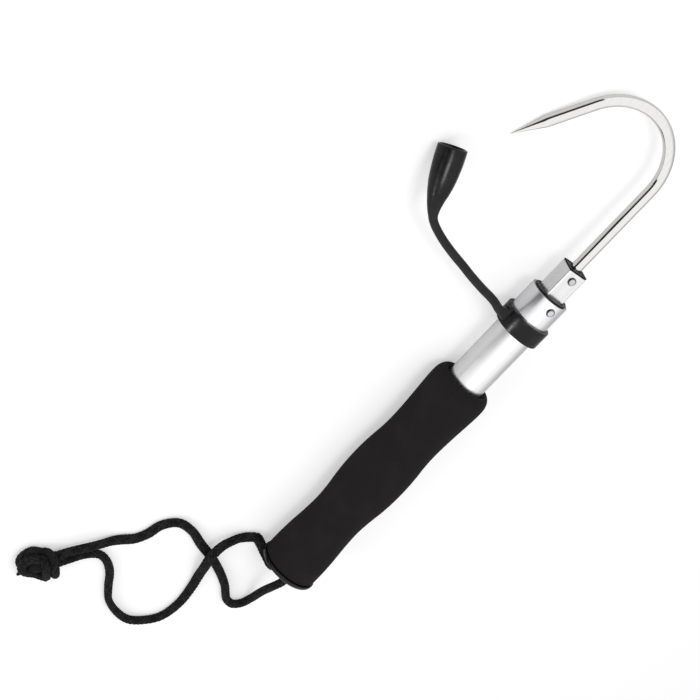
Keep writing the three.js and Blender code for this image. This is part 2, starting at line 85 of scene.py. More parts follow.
BEND_RADIUS = 32.7
BEND_ANGLE = math.radians(146.5)
ARM_LENGTH = 43.8
POINT_LENGTH = 19.0
SLIP = 0.2
FLATTENING = -0.8
STRAND_SIDES = 6
CORE_SIDES = 16
GRAIN_RUN = (0.3, 0.7)
SPECK_RUN = (0.62, 0.72)

Point = Sequence[float]
Profile = list[tuple[float, float]]
Loop = list[Vector]
Table = Sequence[tuple[float, float]]
Piece = bpy.types.Object
Node = bpy.types.Node
Socket = bpy.types.NodeSocket
Tree = bpy.types.NodeTree


def butt_origin() -> Vector:
    """Finds the middle of the butt's rear face, under the axis and on the table, from the end cap's box.

    Returns:
        The point in metres in the part's frame.
    """
    low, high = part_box("end_cap")
    return Vector((low.x, (low.y + high.y) / 2, low.z))


def hook_lean() -> float:
    """Works out how far the hook's plane leans for its arm to rest on the table.

    Returns:
        The lean about X in radians.
    """
    reach = BEND_RADIUS * (1 - math.cos(BEND_ANGLE)) + (ARM_LENGTH - POINT_LENGTH) * math.sin(BEND_ANGLE)
    return math.asin((GRIP_RADIUS - WIRE_RADIUS) / reach)


ORIGIN = butt_origin()
LEAN = hook_lean()


class Lie(Enum):
    """How a sub-assembly's own axes lie in the part."""

    LEVEL = "about the tube's axis, upright"
    LEANING = "about the tube's axis, turned with the hook's plane"
    TABLE = "heights measured from the table"


class Run(Enum):
    """How the first and last rings of a skin are treated."""

    CAPPED = "each end is closed by a flat face"
    RING = "the last ring joins the first"


def laid(point: Point, lie: Lie) -> Vector:
    """Lays a point of the butt's own axes in the part's frame.

    Args:
        point: Station, side and height in millimetres.
        lie: How the axes lie.

    Returns:
        The point in metres.
    """
    x, y, z = point
    if lie is Lie.LEANING:
        y, z = y * math.cos(LEAN) + z * math.sin(LEAN), z * math.cos(LEAN) - y * math.sin(LEAN)
    lift = 0.0 if lie is Lie.TABLE else GRIP_RADIUS
    return ORIGIN + Vector((x, y, z + lift)) * MM


def smooth_route(points: Sequence[Point], steps: int) -> Loop:
    """Draws the centripetal curve that the CAD draws through the same points.

    Args:
        points: The points that the curve passes through.
        steps: How many stretches each span is cut into.

    Returns:
        The points along the curve.
    """
    spots = [Vector(point) for point in points]
    spots = [2 * spots[0] - spots[1], *spots, 2 * spots[-1] - spots[-2]]
    drawn: Loop = []
    for before, start, end, after in zip(spots, spots[1:], spots[2:], spots[3:]):
        first = (start - before).length ** 0.5
        span = (end - start).length ** 0.5
        last = (after - end).length ** 0.5
        leave = ((start - before) / first - (end - before) / (first + span) + (end - start) / span) * span
        arrive = ((end - start) / span - (after - start) / (span + last) + (after - end) / last) * span
        for step in range(steps):
            t = step / steps
            drawn.append(
                start
                + leave * t
                + (3 * (end - start) - 2 * leave - arrive) * t**2
                + (2 * (start - end) + leave + arrive) * t**3
            )
    drawn.append(spots[-2])
    return drawn


def route_length(points: Loop) -> float:
    """Adds up a route's stretches, in the unit of its points."""
    return sum((b - a).length for a, b in zip(points, points[1:]))


def between(value: float, table: Table) -> float:
    """Reads a table of pairs with a smooth curve between its rows.

    Args:
        value: Where to read.
        table: Pairs in rising order.

    Returns:
        The value read.
    """
    if value <= table[0][0]:
        return table[0][1]
    for i, ((a, low), (b, high)) in enumerate(zip(table, table[1:])):
        if value <= b:
            t = (value - a) / (b - a)
            slope = (high - low) / (b - a)
            before = slope if i == 0 else (high - table[i - 1][1]) / (b - table[i - 1][0])
            after = slope if i + 2 == len(table) else (table[i + 2][1] - low) / (table[i + 2][0] - a)
            return (
                low * (2 * t**3 - 3 * t**2 + 1)
                + before * (b - a) * (t**3 - 2 * t**2 + t)
                + high * (3 * t**2 - 2 * t**3)
                + after * (b - a) * (t**3 - t**2)
            )
    return table[-1][1]


def eased(corners: Sequence[tuple[float, float, float]], ring: bool = True, steps: int = 6) -> Profile:
    """Rounds the corners of a flat outline.

    Args:
        corners: Station, radius and rounding of each corner.
        ring: Whether the outline closes on itself.
        steps: How many stretches a rounding has.

    Returns:
        The outline's points.
    """
    spots = [Vector((x, r)) for x, r, _ in corners]
    outline: Profile = []
    for i, (x, r, size) in enumerate(corners):
        if size <= 0 or (not ring and i in (0, len(corners) - 1)):
            outline.append((x, r))
            continue
        here = spots[i]
        back = (spots[i - 1] - here).normalized()
        ahead = (spots[(i + 1) % len(spots)] - here).normalized()
        reach = size / math.tan(back.angle(ahead) / 2)
        start, end = here + back * reach, here + ahead * reach
        for step in range(steps + 1):
            t = step / steps
            spot = start * (1 - t) ** 2 + here * 2 * t * (1 - t) + end * t**2
            outline.append((spot.x, spot.y))
    return outline


def circle(station: float, radius: float, sides: int) -> Loop:
    """Draws a ring of points round the axis."""
    return [
        Vector((station, radius * math.cos(math.tau * i / sides), radius * math.sin(math.tau * i / sides)))
        for i in range(sides)
    ]


def square(station: float, half: float, corner: float, arc_steps: int = 6, side_steps: int = 12) -> Loop:
    """Draws a ring of points in the form of a square with round corners.

    Args:
        station: Where the ring stands along the axis.
        half: Half the square's side.
        corner: The corners' radius.
        arc_steps: Stretches in each corner.
        side_steps: Stretches in each side.

    Returns:
        The ring's points.
    """
    inner = half - corner
    ring: Loop = []
    for quarter in range(4):
        turn = Matrix.Rotation(quarter * math.pi / 2, 3, "X")
        for i in range(side_steps):
            ring.append(turn @ Vector((station, half, -inner + 2 * inner * i / side_steps)))
        for i in range(arc_steps):
            angle = math.pi / 2 * i / arc_steps
            spot = Vector((station, inner + corner * math.cos(angle), inner + corner * math.sin(angle)))
            ring.append(turn @ spot)
    return ring


def round_like(ring: Loop, station: float, radius: float) -> Loop:
    """Draws a circle whose points lie in the same directions as another ring's."""
    return [Vector((station, *(Vector((p.y, p.z)).normalized() * radius))) for p in ring]


def smooth_shaded(obj: Piece, sharp: float) -> Piece:
    """Shades a mesh smooth, but for edges that turn by more than an angle in degrees."""
    obj.data.polygons.foreach_set("use_smooth", [True] * len(obj.data.polygons))
    obj.data.set_sharp_from_angle(angle=math.radians(sharp))
    return obj


def new_object(name: str, mesh: bpy.types.Mesh) -> Piece:
    """Puts a mesh in the scene as an object at the origin."""
    obj = bpy.data.objects.new(name, mesh)
    bpy.context.scene.collection.objects.link(obj)
    return obj


def skin(name: str, loops: Sequence[Loop], lie: Lie, run: Run = Run.RING, sharp: float = 35) -> Piece:
    """Joins rings of points into one closed mesh with its faces outwards.

    Args:
        name: The piece's name.
        loops: Rings with equal numbers of points, in millimetres.
        lie: How the rings' axes lie.
        run: Whether the ends are capped or joined.
        sharp: The angle in degrees from which an edge stays sharp.

    Returns:
        The new object.
    """
    size = len(loops[0])
    points = [laid(point, lie) for loop in loops for point in loop]
    pairs = list(zip(range(len(loops) - 1), range(1, len(loops))))
    if run is Run.RING:
        pairs.append((len(loops) - 1, 0))
    faces = [
        (a * size + i, a * size + (i + 1) % size, b * size + (i + 1) % size, b * size + i)
        for a, b in pairs
        for i in range(size)
    ]
    if run is Run.CAPPED:
        faces.append(tuple(reversed(range(size))))
        faces.append(tuple((len(loops) - 1) * size + i for i in range(size)))
    mesh = bpy.data.meshes.new(name)
    mesh.from_pydata(points, [], faces)
    form = bmesh.new()
    form.from_mesh(mesh)
    bmesh.ops.remove_doubles(form, verts=form.verts, dist=1e-7)
    bmesh.ops.recalc_face_normals(form, faces=form.faces)
    form.to_mesh(mesh)
    form.free()
    return smooth_shaded(new_object(name, mesh), sharp)


def turned(name: str, profile: Profile, lie: Lie, sides: int = 96, sharp: float = 35) -> Piece:
    """Turns a closed outline about the axis, as a lathe does."""
    return skin(name, [circle(x, r, sides) for x, r in profile], lie, Run.RING, sharp)


def made_plain(obj: Piece, sharp: float = 35) -> Piece:
    """Turns a piece with modifiers into a plain mesh and takes the modifiers off.

    Args:
        obj: The piece.
        sharp: The angle in degrees from which an edge stays sharp.

    Returns:
        The same object with its finished mesh.
    """
    graph = bpy.context.evaluated_depsgraph_get()
    mesh = bpy.data.meshes.new_from_object(
        obj.evaluated_get(graph), preserve_all_data_layers=True, depsgraph=graph)
    obj.modifiers.clear()
    obj.data = mesh
    mesh.name = obj.name
    return smooth_shaded(obj, sharp)


def bored(obj: Piece, drills: Sequence[Piece], sharp: float = 35) -> Piece:
    """Cuts holes in a piece with drills, and clears the drills away."""
    for drill in drills:
        cut = obj.modifiers.new("hole", "BOOLEAN")
        cut.operation = "DIFFERENCE"
        cut.solver = "EXACT"
        cut.object = drill
    made_plain(obj, sharp)
    for drill in drills:
        bpy.data.objects.remove(drill)
    return obj


class Wiring:
    """A node tree being wired, with short ways to add nodes and join them."""

    def __init__(self, tree: Tree) -> None:
        """Takes the tree to be wired."""
        self.tree = tree

    def add(self, kind: str, inputs: dict[int | str, Any] | None = None, **settings: Any) -> Node:
        """Adds a node.

        Args:
            kind: The node's type name.
            inputs: A value, socket or node for each input that is set, by name or number.
            settings: The node's own settings.

        Returns:
            The new node.
        """
        node = self.tree.nodes.new(kind)
        for name, value in settings.items():
            setattr(node, name, value)
        for name, value in (inputs or {}).items():
            self.feed(node.inputs[name], value)
        return node

    def feed(self, socket: Socket, value: Any) -> None:
        """Sets a socket to a value, or links it to another socket or a node's first output."""
        if isinstance(value, Node):
            value = value.outputs[0]
        if isinstance(value, Socket):
            self.tree.links.new(value, socket)
        else:
            socket.default_value = value

    def sum(self, kind: str, operation: str, *values: Any) -> Socket:
        """Adds a Math or Vector Math node and gives its first result."""
        node = self.add(kind, dict(enumerate(values)), operation=operation)
        return node.outputs["Value" if operation in ("LENGTH", "DOT_PRODUCT") else 0]

    def number(self, operation: str, *values: Any) -> Socket:
        """Works out a number from numbers."""
        return self.sum("ShaderNodeMath", operation, *values)

    def vector(self, operation: str, *values: Any) -> Socket:
        """Works out a vector from vectors."""
        return self.sum("ShaderNodeVectorMath", operation, *values)

    def product(self, first: Any, *others: Any) -> Any:
        """Multiplies numbers one after another."""
        for other in others:
            first = self.number("MULTIPLY", first, other)
        return first

    def scaled(self, vector: Any, share: Any) -> Socket:
        """Scales a vector by a number."""
        return self.add("ShaderNodeVectorMath", {0: vector, "Scale": share}, operation="SCALE").outputs[0]

    def spread(self, value: Any, low: float, high: float, to_low: float = 0.0, to_high: float = 1.0) -> Any:
        """Maps a range of a value onto another range, softly."""
        ends = {0: value, 1: low, 2: high, 3: to_low, 4: to_high}
        return self.add("ShaderNodeMapRange", ends, interpolation_type="SMOOTHSTEP").outputs[0]

    def mixed(self, share: Any, a: Any, b: Any) -> Socket:
        """Mixes two colours."""
        return self.add("ShaderNodeMix", {0: share, 6: a, 7: b}, data_type="RGBA").outputs[2]

    def attribute(self, name: str, kind: str = "FLOAT") -> Socket:
        """Reads a named attribute of the geometry."""
        return self.add("GeometryNodeInputNamedAttribute", {"Name": name}, data_type=kind).outputs[0]

    def stored(self, geometry: Any, name: str, value: Any) -> Node:
        """Stores a number on the geometry as a named attribute."""
        return self.add(
            "GeometryNodeStoreNamedAttribute", {"Geometry": geometry, "Name": name, "Value": value},
            data_type="FLOAT")


def colour(red: float, green: float, blue: float) -> tuple[float, float, float, float]:
    """Gives a colour with full cover."""
    return (red, green, blue, 1.0)


# Near-black painted shade, laid round the rim of each rivet head.
RIM_PAINTED_SHADE = colour(0.03, 0.03, 0.03)
DUST = colour(0.35, 0.35, 0.36)
# Pale tone of loose fibres on the cord, partly a painted highlight on them.
PALE_FIBRE_AND_GLINT = colour(0.12, 0.12, 0.125)


def blank_material(name: str) -> tuple[bpy.types.Material, Wiring]:
    """Makes a material with no nodes yet, and the wiring for them."""
    material = bpy.data.materials.new(name)
    material.use_nodes = True
    material.node_tree.nodes.clear()
    return material, Wiring(material.node_tree)


class Effects:
    """The shader groups that several finishes share, each built once."""

    built: dict[str, Tree] = {}

    @classmethod
    def group(cls, name: str, inputs: dict[str, float], outputs: dict[str, str]) -> Wiring | None:
        """Starts a group, unless it is already built.

        Args:
            name: The group's name.
            inputs: Its number inputs and their defaults.
            outputs: Its outputs and their socket types.

        Returns:
            The wiring of a new group, or None if the group is there.
        """
        if name in cls.built:
            return None
        tree = bpy.data.node_groups.new(name, "ShaderNodeTree")
        for label, value in inputs.items():
            socket = tree.interface.new_socket(label, in_out="INPUT", socket_type="NodeSocketFloat")
            socket.default_value = value
        for label, kind in outputs.items():
            tree.interface.new_socket(label, in_out="OUTPUT", socket_type=kind)
        cls.built[name] = tree
        return Wiring(tree)

    @staticmethod
    def bumped(wires: Wiring, given: Node, place: Any, scale: Any, detail: Any) -> None:
        """Ends a group with noise for its mask and the noise's bump for its normal."""
        noise = wires.add("ShaderNodeTexNoise", {"Vector": place, "Scale": scale, "Detail": detail})
        bump = wires.add("ShaderNodeBump", {
            "Strength": given.outputs["Strength"], "Distance": given.outputs["Depth"], "Height": noise})
        wires.add("NodeGroupOutput", {0: noise.outputs[0], 1: bump.outputs[0]})

    @classmethod
    def grain(cls) -> Tree:
        """Fine grain: a mask and a bumped normal from noise that is even in all directions."""
        wires = cls.group(
            "surface_grain",
            {"Scale": 900, "Detail": 2, "Strength": 0.2, "Depth": 0.0002},
            {"Mask": "NodeSocketFloat", "Normal": "NodeSocketVector"},
        )
        if wires:
            given = wires.add("NodeGroupInput")
            place = wires.add("ShaderNodeTexCoord").outputs["Object"]
            cls.bumped(wires, given, place, given.outputs["Scale"], given.outputs["Detail"])
        return cls.built["surface_grain"]

    @classmethod
    def drawn_lines(cls) -> Tree:
        """Faint lines along the piece, as drawing and brushing leave on metal."""
        wires = cls.group(
            "drawn_lines",
            {"Along": 6, "Across": 1400, "Strength": 0.1, "Depth": 0.00005},
            {"Mask": "NodeSocketFloat", "Normal": "NodeSocketVector"},
        )
        if wires:
            given = wires.add("NodeGroupInput")
            place = wires.add("ShaderNodeTexCoord").outputs["Object"]
            stretch = wires.add("ShaderNodeCombineXYZ", {
                0: given.outputs["Along"], 1: given.outputs["Across"], 2: given.outputs["Across"]})
            cls.bumped(wires, given, wires.vector("MULTIPLY", place, stretch), 1.0, 3.0)
        return cls.built["drawn_lines"]

    @classmethod
    def handling(cls) -> Tree:
        """Soft patches that hands and use leave, as a mask from none to full."""
        wires = cls.group(
            "handling_patches", {"Scale": 40, "Low": 0.45, "High": 0.7}, {"Mask": "NodeSocketFloat"})
        if wires:
            given = wires.add("NodeGroupInput")
            place = wires.add("ShaderNodeTexCoord").outputs["Object"]
            noise = wires.add("ShaderNodeTexNoise", {
                "Vector": place, "Scale": given.outputs["Scale"], "Detail": 4.0})
            mask = wires.spread(noise.outputs[0], given.outputs["Low"], given.outputs["High"])
            wires.add("NodeGroupOutput", {0: mask})
        return cls.built["handling_patches"]


@dataclass(frozen=True)
class Finish:
    """What every finish has: a name, the record's slot and the shader's own numbers."""

    name: str
    slot: str
    base: tuple[float, float, float]
    tint: tuple[float, float, float]
    roughness: tuple[float, float] = (0.4, 0.5)
    metallic: float = 0.0
    ior: float = 1.5
    specular: float = 0.5

    def shader(self) -> tuple[Wiring, Node]:
        """Starts the material with a Principled shader that holds its constants.

        Returns:
            The material's wiring and its shader.
        """
        material, wires = blank_material(self.name)
        shader = wires.add("ShaderNodeBsdfPrincipled", {
            "Metallic": self.metallic, "IOR": self.ior, "Specular IOR Level": self.specular})
        wires.add("ShaderNodeOutputMaterial", {0: shader})
        material.diffuse_color = colour(*self.base)
        return wires, shader

    def effect(self, wires: Wiring, tree: Tree, **values: float) -> Node:
        """Places a shared group with this finish's own values."""
        node = wires.add("ShaderNodeGroup", node_tree=tree)
        for name, value in values.items():
            node.inputs[name.capitalize()].default_value = value
        return node

    def material(self) -> bpy.types.Material:
        """Builds the material, once.

        Returns:
            The material.
        """
        if self.name in bpy.data.materials:
            return bpy.data.materials[self.name]
        wires, shader = self.shader()
        self.dress(wires, shader)
        return bpy.data.materials[self.name]

    def dress(self, wires: Wiring, shader: Node) -> None:
        """Wires the finish's own pattern into the shader."""
        raise NotImplementedError


@dataclass(frozen=True)
class DrawnMetal(Finish):
    """Metal with faint lines along it and soft patches where it has been handled, and on rivet heads a
    painted dark ring of shade round the rim.
    """

    metallic: float = 1.0
    along: float = 6.0
    across: float = 1400.0
    strength: float = 0.08
    patches: float = 40.0
    # Strength of the painted shade ring round a rivet head's rim, and the share of the head's radius where it
    # starts and where it is full.
    rim: float = 0.0
    rim_run: tuple[float, float] = (0.60, 0.90)

    def dress(self, wires: Wiring, shader: Node) -> None:
        """Feeds the lines to the colour and normal, and the patches to the roughness; a rim gets painted
        shade.
        """
        lines = self.effect(
            wires, Effects.drawn_lines(), along=self.along, across=self.across, strength=self.strength)
        worn = self.effect(wires, Effects.handling(), scale=self.patches)
        shade = wires.spread(lines.outputs[0], *GRAIN_RUN)
        body = wires.mixed(shade, colour(*self.base), colour(*self.tint))
        # Painted shade: darkens the colour towards near-black at the head's rim, where the dome turns under.
        if self.rim > 0:
            edge = wires.add("ShaderNodeAttribute", attribute_name="rim").outputs["Fac"]
            rim_shade = wires.spread(edge, *self.rim_run, 0.0, self.rim)
            body = wires.mixed(rim_shade, body, RIM_PAINTED_SHADE)
        wires.feed(shader.inputs["Base Color"], body)
        wires.feed(shader.inputs["Roughness"], wires.spread(worn.outputs[0], 0.0, 1.0, *self.roughness))
        wires.feed(shader.inputs["Normal"], lines.outputs[1])


@dataclass(frozen=True)
class Moulded(Finish):
    """Plastic, rubber or foam: fine grain, with patches of another tone and gloss."""

    grain: float = 900.0
    detail: float = 2.0
    strength: float = 0.15
    depth: float = 0.0002
    patches: float = 60.0
    patch_share: float = 0.6
    specks: float = 0.0

    def dress(self, wires: Wiring, shader: Node) -> None:
        """Feeds the grain to the normal and the patches to the colour and roughness."""
        grain = self.effect(
            wires, Effects.grain(), scale=self.grain, detail=self.detail, strength=self.strength,
            depth=self.depth)
        worn = self.effect(wires, Effects.handling(), scale=self.patches)
        tone = wires.number(
            "ADD", wires.product(worn.outputs[0], self.patch_share),
            wires.product(grain.outputs[0], 1 - self.patch_share))
        body = wires.mixed(tone, colour(*self.base), colour(*self.tint))
        if self.specks > 0:
            dust = self.effect(wires, Effects.handling(), scale=1500.0, low=0.68, high=0.76)
            body = wires.mixed(wires.product(dust.outputs[0], self.specks), body, DUST)
        wires.feed(shader.inputs["Base Color"], body)
        wires.feed(shader.inputs["Roughness"], wires.spread(grain.outputs[0], *GRAIN_RUN, *self.roughness))
        wires.feed(shader.inputs["Normal"], grain.outputs[1])


@dataclass(frozen=True)
class Braided(Finish):
    """Braided fibre: each strand has its own tone, with short pale specks along it, partly loose fibres and
    partly painted highlights on them.
    """

    fibre_scale: float = 1500.0
    fibre_share: float = 0.3

    def dress(self, wires: Wiring, shader: Node) -> None:
        """Reads the strands' own tone and lays short pale specks over it, partly fibre and partly painted
        highlight.
        """
        strand = wires.add("ShaderNodeAttribute", attribute_name="strand_tone").outputs["Fac"]
        grain = self.effect(
            wires, Effects.grain(), scale=self.fibre_scale, detail=3.0, strength=0.5, depth=0.0002)
        specks = wires.spread(grain.outputs[0], *SPECK_RUN)
        body = wires.mixed(strand, colour(*self.base), colour(*self.tint))
        # Pale specks: partly the fibres' own tone, partly painted highlight.
        body = wires.mixed(wires.product(specks, self.fibre_share), body, PALE_FIBRE_AND_GLINT)
        wires.feed(shader.inputs["Base Color"], body)
        wires.feed(shader.inputs["Roughness"], wires.spread(grain.outputs[0], *GRAIN_RUN, *self.roughness))
        wires.feed(shader.inputs["Normal"], grain.outputs[1])


TUBE_METAL = DrawnMetal(
    "satin_tube_aluminium", "tube_aluminium", (0.92, 0.92, 0.915), (0.90, 0.90, 0.905), (0.30, 0.36),
    strength=0.02)
FERRULE_METAL = DrawnMetal(
    "lilac_ferrule_aluminium", "ferrule_aluminium", (0.90, 0.89, 0.91), (0.88, 0.865, 0.895), (0.28, 0.34),
    strength=0.02)
SQUARE_METAL = DrawnMetal(
    "brushed_square_aluminium", "square_aluminium", (0.89, 0.89, 0.89), (0.81, 0.81, 0.815), (0.24, 0.34),
    strength=0.10)
WIRE_METAL = DrawnMetal(
    "polished_stainless_wire", "stainless_wire", (0.86, 0.85, 0.835), (0.82, 0.81, 0.79), (0.07, 0.12),
    across=700.0, strength=0.03)
# The rivet finish paints a dark ring of shade round each head's rim.
RIVET_METAL = DrawnMetal(
    "rivet_steel_bright", "rivet_steel", (0.72, 0.72, 0.72), (0.60, 0.60, 0.61), (0.20, 0.30), along=400.0,
    across=400.0, strength=0.08, rim=0.93)
BLACK_PLASTIC = Moulded(
    "black_bush_plastic", "black_plastic", (0.004, 0.004, 0.004), (0.007, 0.007, 0.007), (0.24, 0.34),
    specular=0.16, grain=700.0, strength=0.06, specks=0.25)
WHITE_NYLON = Moulded(
    "white_guide_nylon", "white_nylon", (0.80, 0.79, 0.74), (0.74, 0.73, 0.67), (0.40, 0.52), grain=500.0)
BUTT_GLOSS = Moulded(
    "gloss_butt_plastic", "gloss_black", (0.004, 0.004, 0.004), (0.007, 0.007, 0.007), (0.10, 0.18),
    specular=0.26, grain=420.0, strength=0.04)
GRIP_FOAM = Moulded(
    "grip_foam_black", "grip_foam", (0.0145, 0.0130, 0.0138), (0.0200, 0.0180, 0.0190), (0.86, 0.96),
    specular=0.15, grain=1500.0, detail=4.0, strength=0.5, depth=0.0003)
GUARD_RUBBER = Moulded(
    "guard_rubber_black", "guard_rubber", (0.0080, 0.0074, 0.0081), (0.0180, 0.0168, 0.0178), (0.18, 0.27),
    specular=0.22, grain=520.0, strength=0.07, patches=110.0)
CORD_FIBRE = Braided(
    "braided_cord_black", "cord", (0.0015, 0.0015, 0.0017), (0.0180, 0.0180, 0.0185), (0.55, 0.80),
    specular=0.20)


def dressed(obj: Piece, finish: Finish) -> Piece:
    """Gives a piece its finish."""
    obj.data.materials.clear()
    obj.data.materials.append(finish.material())
    return obj


def reported(obj: Piece) -> Piece:
    """Logs a finished piece and its count of faces."""
    LOG.info("%s: %d faces", obj.name, len(obj.data.polygons))
    return obj


class GrownTree:
    """A Geometry Nodes tree with named inputs, built in the script and used on host meshes."""

    def __init__(self, name: str, inputs: dict[str, tuple[str, Any]]) -> None:
        """Makes the tree with its geometry sockets and its named inputs.

        Args:
            name: The tree's name.
            inputs: Socket type and default of each input.
        """
        self.tree = bpy.data.node_groups.new(name, "GeometryNodeTree")
        self.tree.interface.new_socket("Geometry", in_out="INPUT", socket_type="NodeSocketGeometry")
        for label, (kind, value) in inputs.items():
            socket = self.tree.interface.new_socket(label, in_out="INPUT", socket_type=kind)
            if value is not None:
                socket.default_value = value
        self.tree.interface.new_socket("Geometry", in_out="OUTPUT", socket_type="NodeSocketGeometry")
        self.wires = Wiring(self.tree)
        self.given = self.wires.add("NodeGroupInput")

    def swept(self, line: Any, radius: Any, sides: Any, scale: Any) -> Node:
        """Sweeps a round section along a line."""
        ring = self.wires.add(
            "GeometryNodeCurvePrimitiveCircle", {"Resolution": sides, "Radius": radius}, mode="RADIUS")
        return self.wires.add("GeometryNodeCurveToMesh", {
            "Curve": line, "Profile Curve": ring.outputs[0], "Scale": scale, "Fill Caps": True})

    def close(self, geometry: Any) -> None:
        """Ends the tree with Realize Instances and Set Material."""
        real = self.wires.add("GeometryNodeRealizeInstances", {0: geometry})
        coated = self.wires.add(
            "GeometryNodeSetMaterial", {0: real, "Material": self.given.outputs["Material"]})
        self.wires.add("NodeGroupOutput", {0: coated})

    def grow(self, host: Piece, finish: Finish, sharp: float = 35, **values: Any) -> Piece:
        """Runs the tree on a host mesh and leaves a plain mesh.

        Args:
            host: The object whose mesh feeds the tree.
            finish: The piece's finish.
            sharp: The angle in degrees from which an edge stays sharp.
            values: The tree's inputs by name, with _ for a space.

        Returns:
            The host with its finished mesh.
        """
        modifier = host.modifiers.new(self.tree.name, "NODES")
        modifier.node_group = self.tree
        sockets = {
            item.name: item.identifier
            for item in self.tree.interface.items_tree
            if item.item_type == "SOCKET" and item.in_out == "INPUT"
        }
        for label, value in {**values, "Material": finish.material()}.items():
            modifier[sockets[label.replace("_", " ")]] = value
        made_plain(host, sharp)
        return dressed(host, finish)


def host_line(name: str, points: Loop, girths: Sequence[float], sides: Loop, widths: Sequence[float]) -> Any:
    """Makes a mesh of one line of edges for a tree to follow.

    Args:
        name: The piece's name.
        points: The line's points in metres in the part's frame.
        girths: The share of the full radius at each point.
        sides: The direction across the line at each point.
        widths: How much wider than round the section is at each point.

    Returns:
        The host object.
    """
    mesh = bpy.data.meshes.new(name)
    mesh.from_pydata(points, [(i, i + 1) for i in range(len(points) - 1)], [])
    for label, values in (("girth", girths), ("wide", widths)):
        mesh.attributes.new(label, "FLOAT", "POINT").data.foreach_set("value", list(values))
    across = mesh.attributes.new("across", "FLOAT_VECTOR", "POINT")
    across.data.foreach_set("vector", [part for side in sides for part in side])
    return new_object(name, mesh)


def level_sides(points: Loop) -> Loop:
    """Gives the level direction across a line at each of its points."""
    ways = [b - a for a, b in zip([points[0], *points], [*points[1:], points[-1]])]
    return [way.cross(Vector((0, 0, 1))).normalized() for way in ways]


def carried_sides(points: Loop) -> Loop:
    """Carries a direction across a line along it without twist."""
    ways = [(b - a).normalized() for a, b in zip([points[0], *points], [*points[1:], points[-1]])]
    sides = [ways[0].cross(Vector((0, 0, 1))).normalized()]
    for way in ways[1:]:
        sides.append((sides[-1] - way * sides[-1].dot(way)).normalized())
    return sides


class DrawnWire(GrownTree):
    """Wire drawn along a line, thinner where the line's girth is less."""

    def __init__(self) -> None:
        """Builds the tree."""
        super().__init__("drawn_wire", {
            "Wire Radius": ("NodeSocketFloat", WIRE_RADIUS * MM),
            "Sides": ("NodeSocketInt", 48),
            "Material": ("NodeSocketMaterial", None),
        })
        wires, given = self.wires, self.given
        line = wires.add("GeometryNodeMeshToCurve", {0: given.outputs["Geometry"]})
        self.close(self.swept(
            line, given.outputs["Wire Radius"], given.outputs["Sides"], wires.attribute("girth")))


class RivetHeads(GrownTree):
    """Domed rivets, one on each point of the host, standing along the point's outward direction."""

    def __init__(self) -> None:
        """Builds the tree."""
        super().__init__("rivet_heads", {
            "Head Radius": ("NodeSocketFloat", 2.35 * MM),
            "Head Height": ("NodeSocketFloat", 1.1 * MM),
            "Brim": ("NodeSocketFloat", 0.22 * MM),
            "Shank Radius": ("NodeSocketFloat", 1.5 * MM),
            "Shank Length": ("NodeSocketFloat", 3.0 * MM),
            "Material": ("NodeSocketMaterial", None),
        })
        wires, given = self.wires, self.given
        ball = wires.add("GeometryNodeMeshUVSphere", {"Segments": 48, "Rings": 24, "Radius": 1.0})
        place = wires.add("GeometryNodeInputPosition")
        parts = wires.add("ShaderNodeSeparateXYZ", {0: place})
        crown = wires.product(parts.outputs[2], given.outputs["Head Height"])
        brim = wires.product(parts.outputs[2], given.outputs["Brim"])
        height = wires.number("MAXIMUM", crown, brim)
        below = wires.number("MINIMUM", brim, 0.0)
        under = wires.number("LESS_THAN", parts.outputs[2], 0.0)
        above = wires.number("SUBTRACT", 1.0, under)
        rise = wires.number("ADD", wires.product(height, above), wires.product(below, under))
        spot = wires.add("ShaderNodeCombineXYZ", {
            0: wires.product(parts.outputs[0], given.outputs["Head Radius"]),
            1: wires.product(parts.outputs[1], given.outputs["Head Radius"]),
            2: wires.number("ADD", rise, given.outputs["Brim"]),
        })
        flat = wires.add("ShaderNodeCombineXYZ", {0: parts.outputs[0], 1: parts.outputs[1]})
        # Stores each point's distance from the head's axis, which the rivet finish reads to paint shade round
        # the rim.
        rimmed = wires.stored(ball, "rim", wires.vector("LENGTH", flat))
        head = wires.add("GeometryNodeSetPosition", {"Geometry": rimmed, "Position": spot})
        shank = wires.add("GeometryNodeMeshCylinder", {
            "Vertices": 24, "Radius": given.outputs["Shank Radius"], "Depth": given.outputs["Shank Length"]})
        drop = wires.add("ShaderNodeCombineXYZ", {2: wires.product(given.outputs["Shank Length"], -0.5)})
        shank = wires.add("GeometryNodeTransform", {"Geometry": shank, "Translation": drop})
        rivet = wires.add("GeometryNodeJoinGeometry", {0: head})
        wires.tree.links.new(shank.outputs[0], rivet.inputs[0])
        outward = wires.attribute("outward", "FLOAT_VECTOR")
        turn = wires.add("FunctionNodeAlignRotationToVector", {"Vector": outward}, axis="Z")
        seats = wires.add("GeometryNodeMeshToPoints", {0: given.outputs["Geometry"]})
        self.close(wires.add(
            "GeometryNodeInstanceOnPoints",
            {"Points": seats, "Instance": rivet.outputs[0], "Rotation": turn.outputs[0]},
        ))

    def set_on(self, name: str, station: float, height: float, shank_length: float) -> Piece:
        """Sets two rivets opposite each other, square to the hook's plane.

        Args:
            name: The piece's name.
            station: Where they stand along the axis, in millimetres.
            height: How far their heads sit from the axis, in millimetres.
            shank_length: How far each shank goes in, in millimetres.

        Returns:
            The rivets as one piece.
        """
        middle = laid((0, 0, 0), Lie.LEANING)
        places = [laid((station, 0, side * height), Lie.LEANING) for side in (1, -1)]
        ways = [(laid((0, 0, side), Lie.LEANING) - middle) / MM for side in (1, -1)]
        mesh = bpy.data.meshes.new(name)
        mesh.from_pydata(places, [], [])
        attribute = mesh.attributes.new("outward", "FLOAT_VECTOR", "POINT")
        attribute.data.foreach_set("vector", [part for way in ways for part in way])
        return self.grow(new_object(name, mesh), RIVET_METAL, Shank_Length=shank_length * MM)


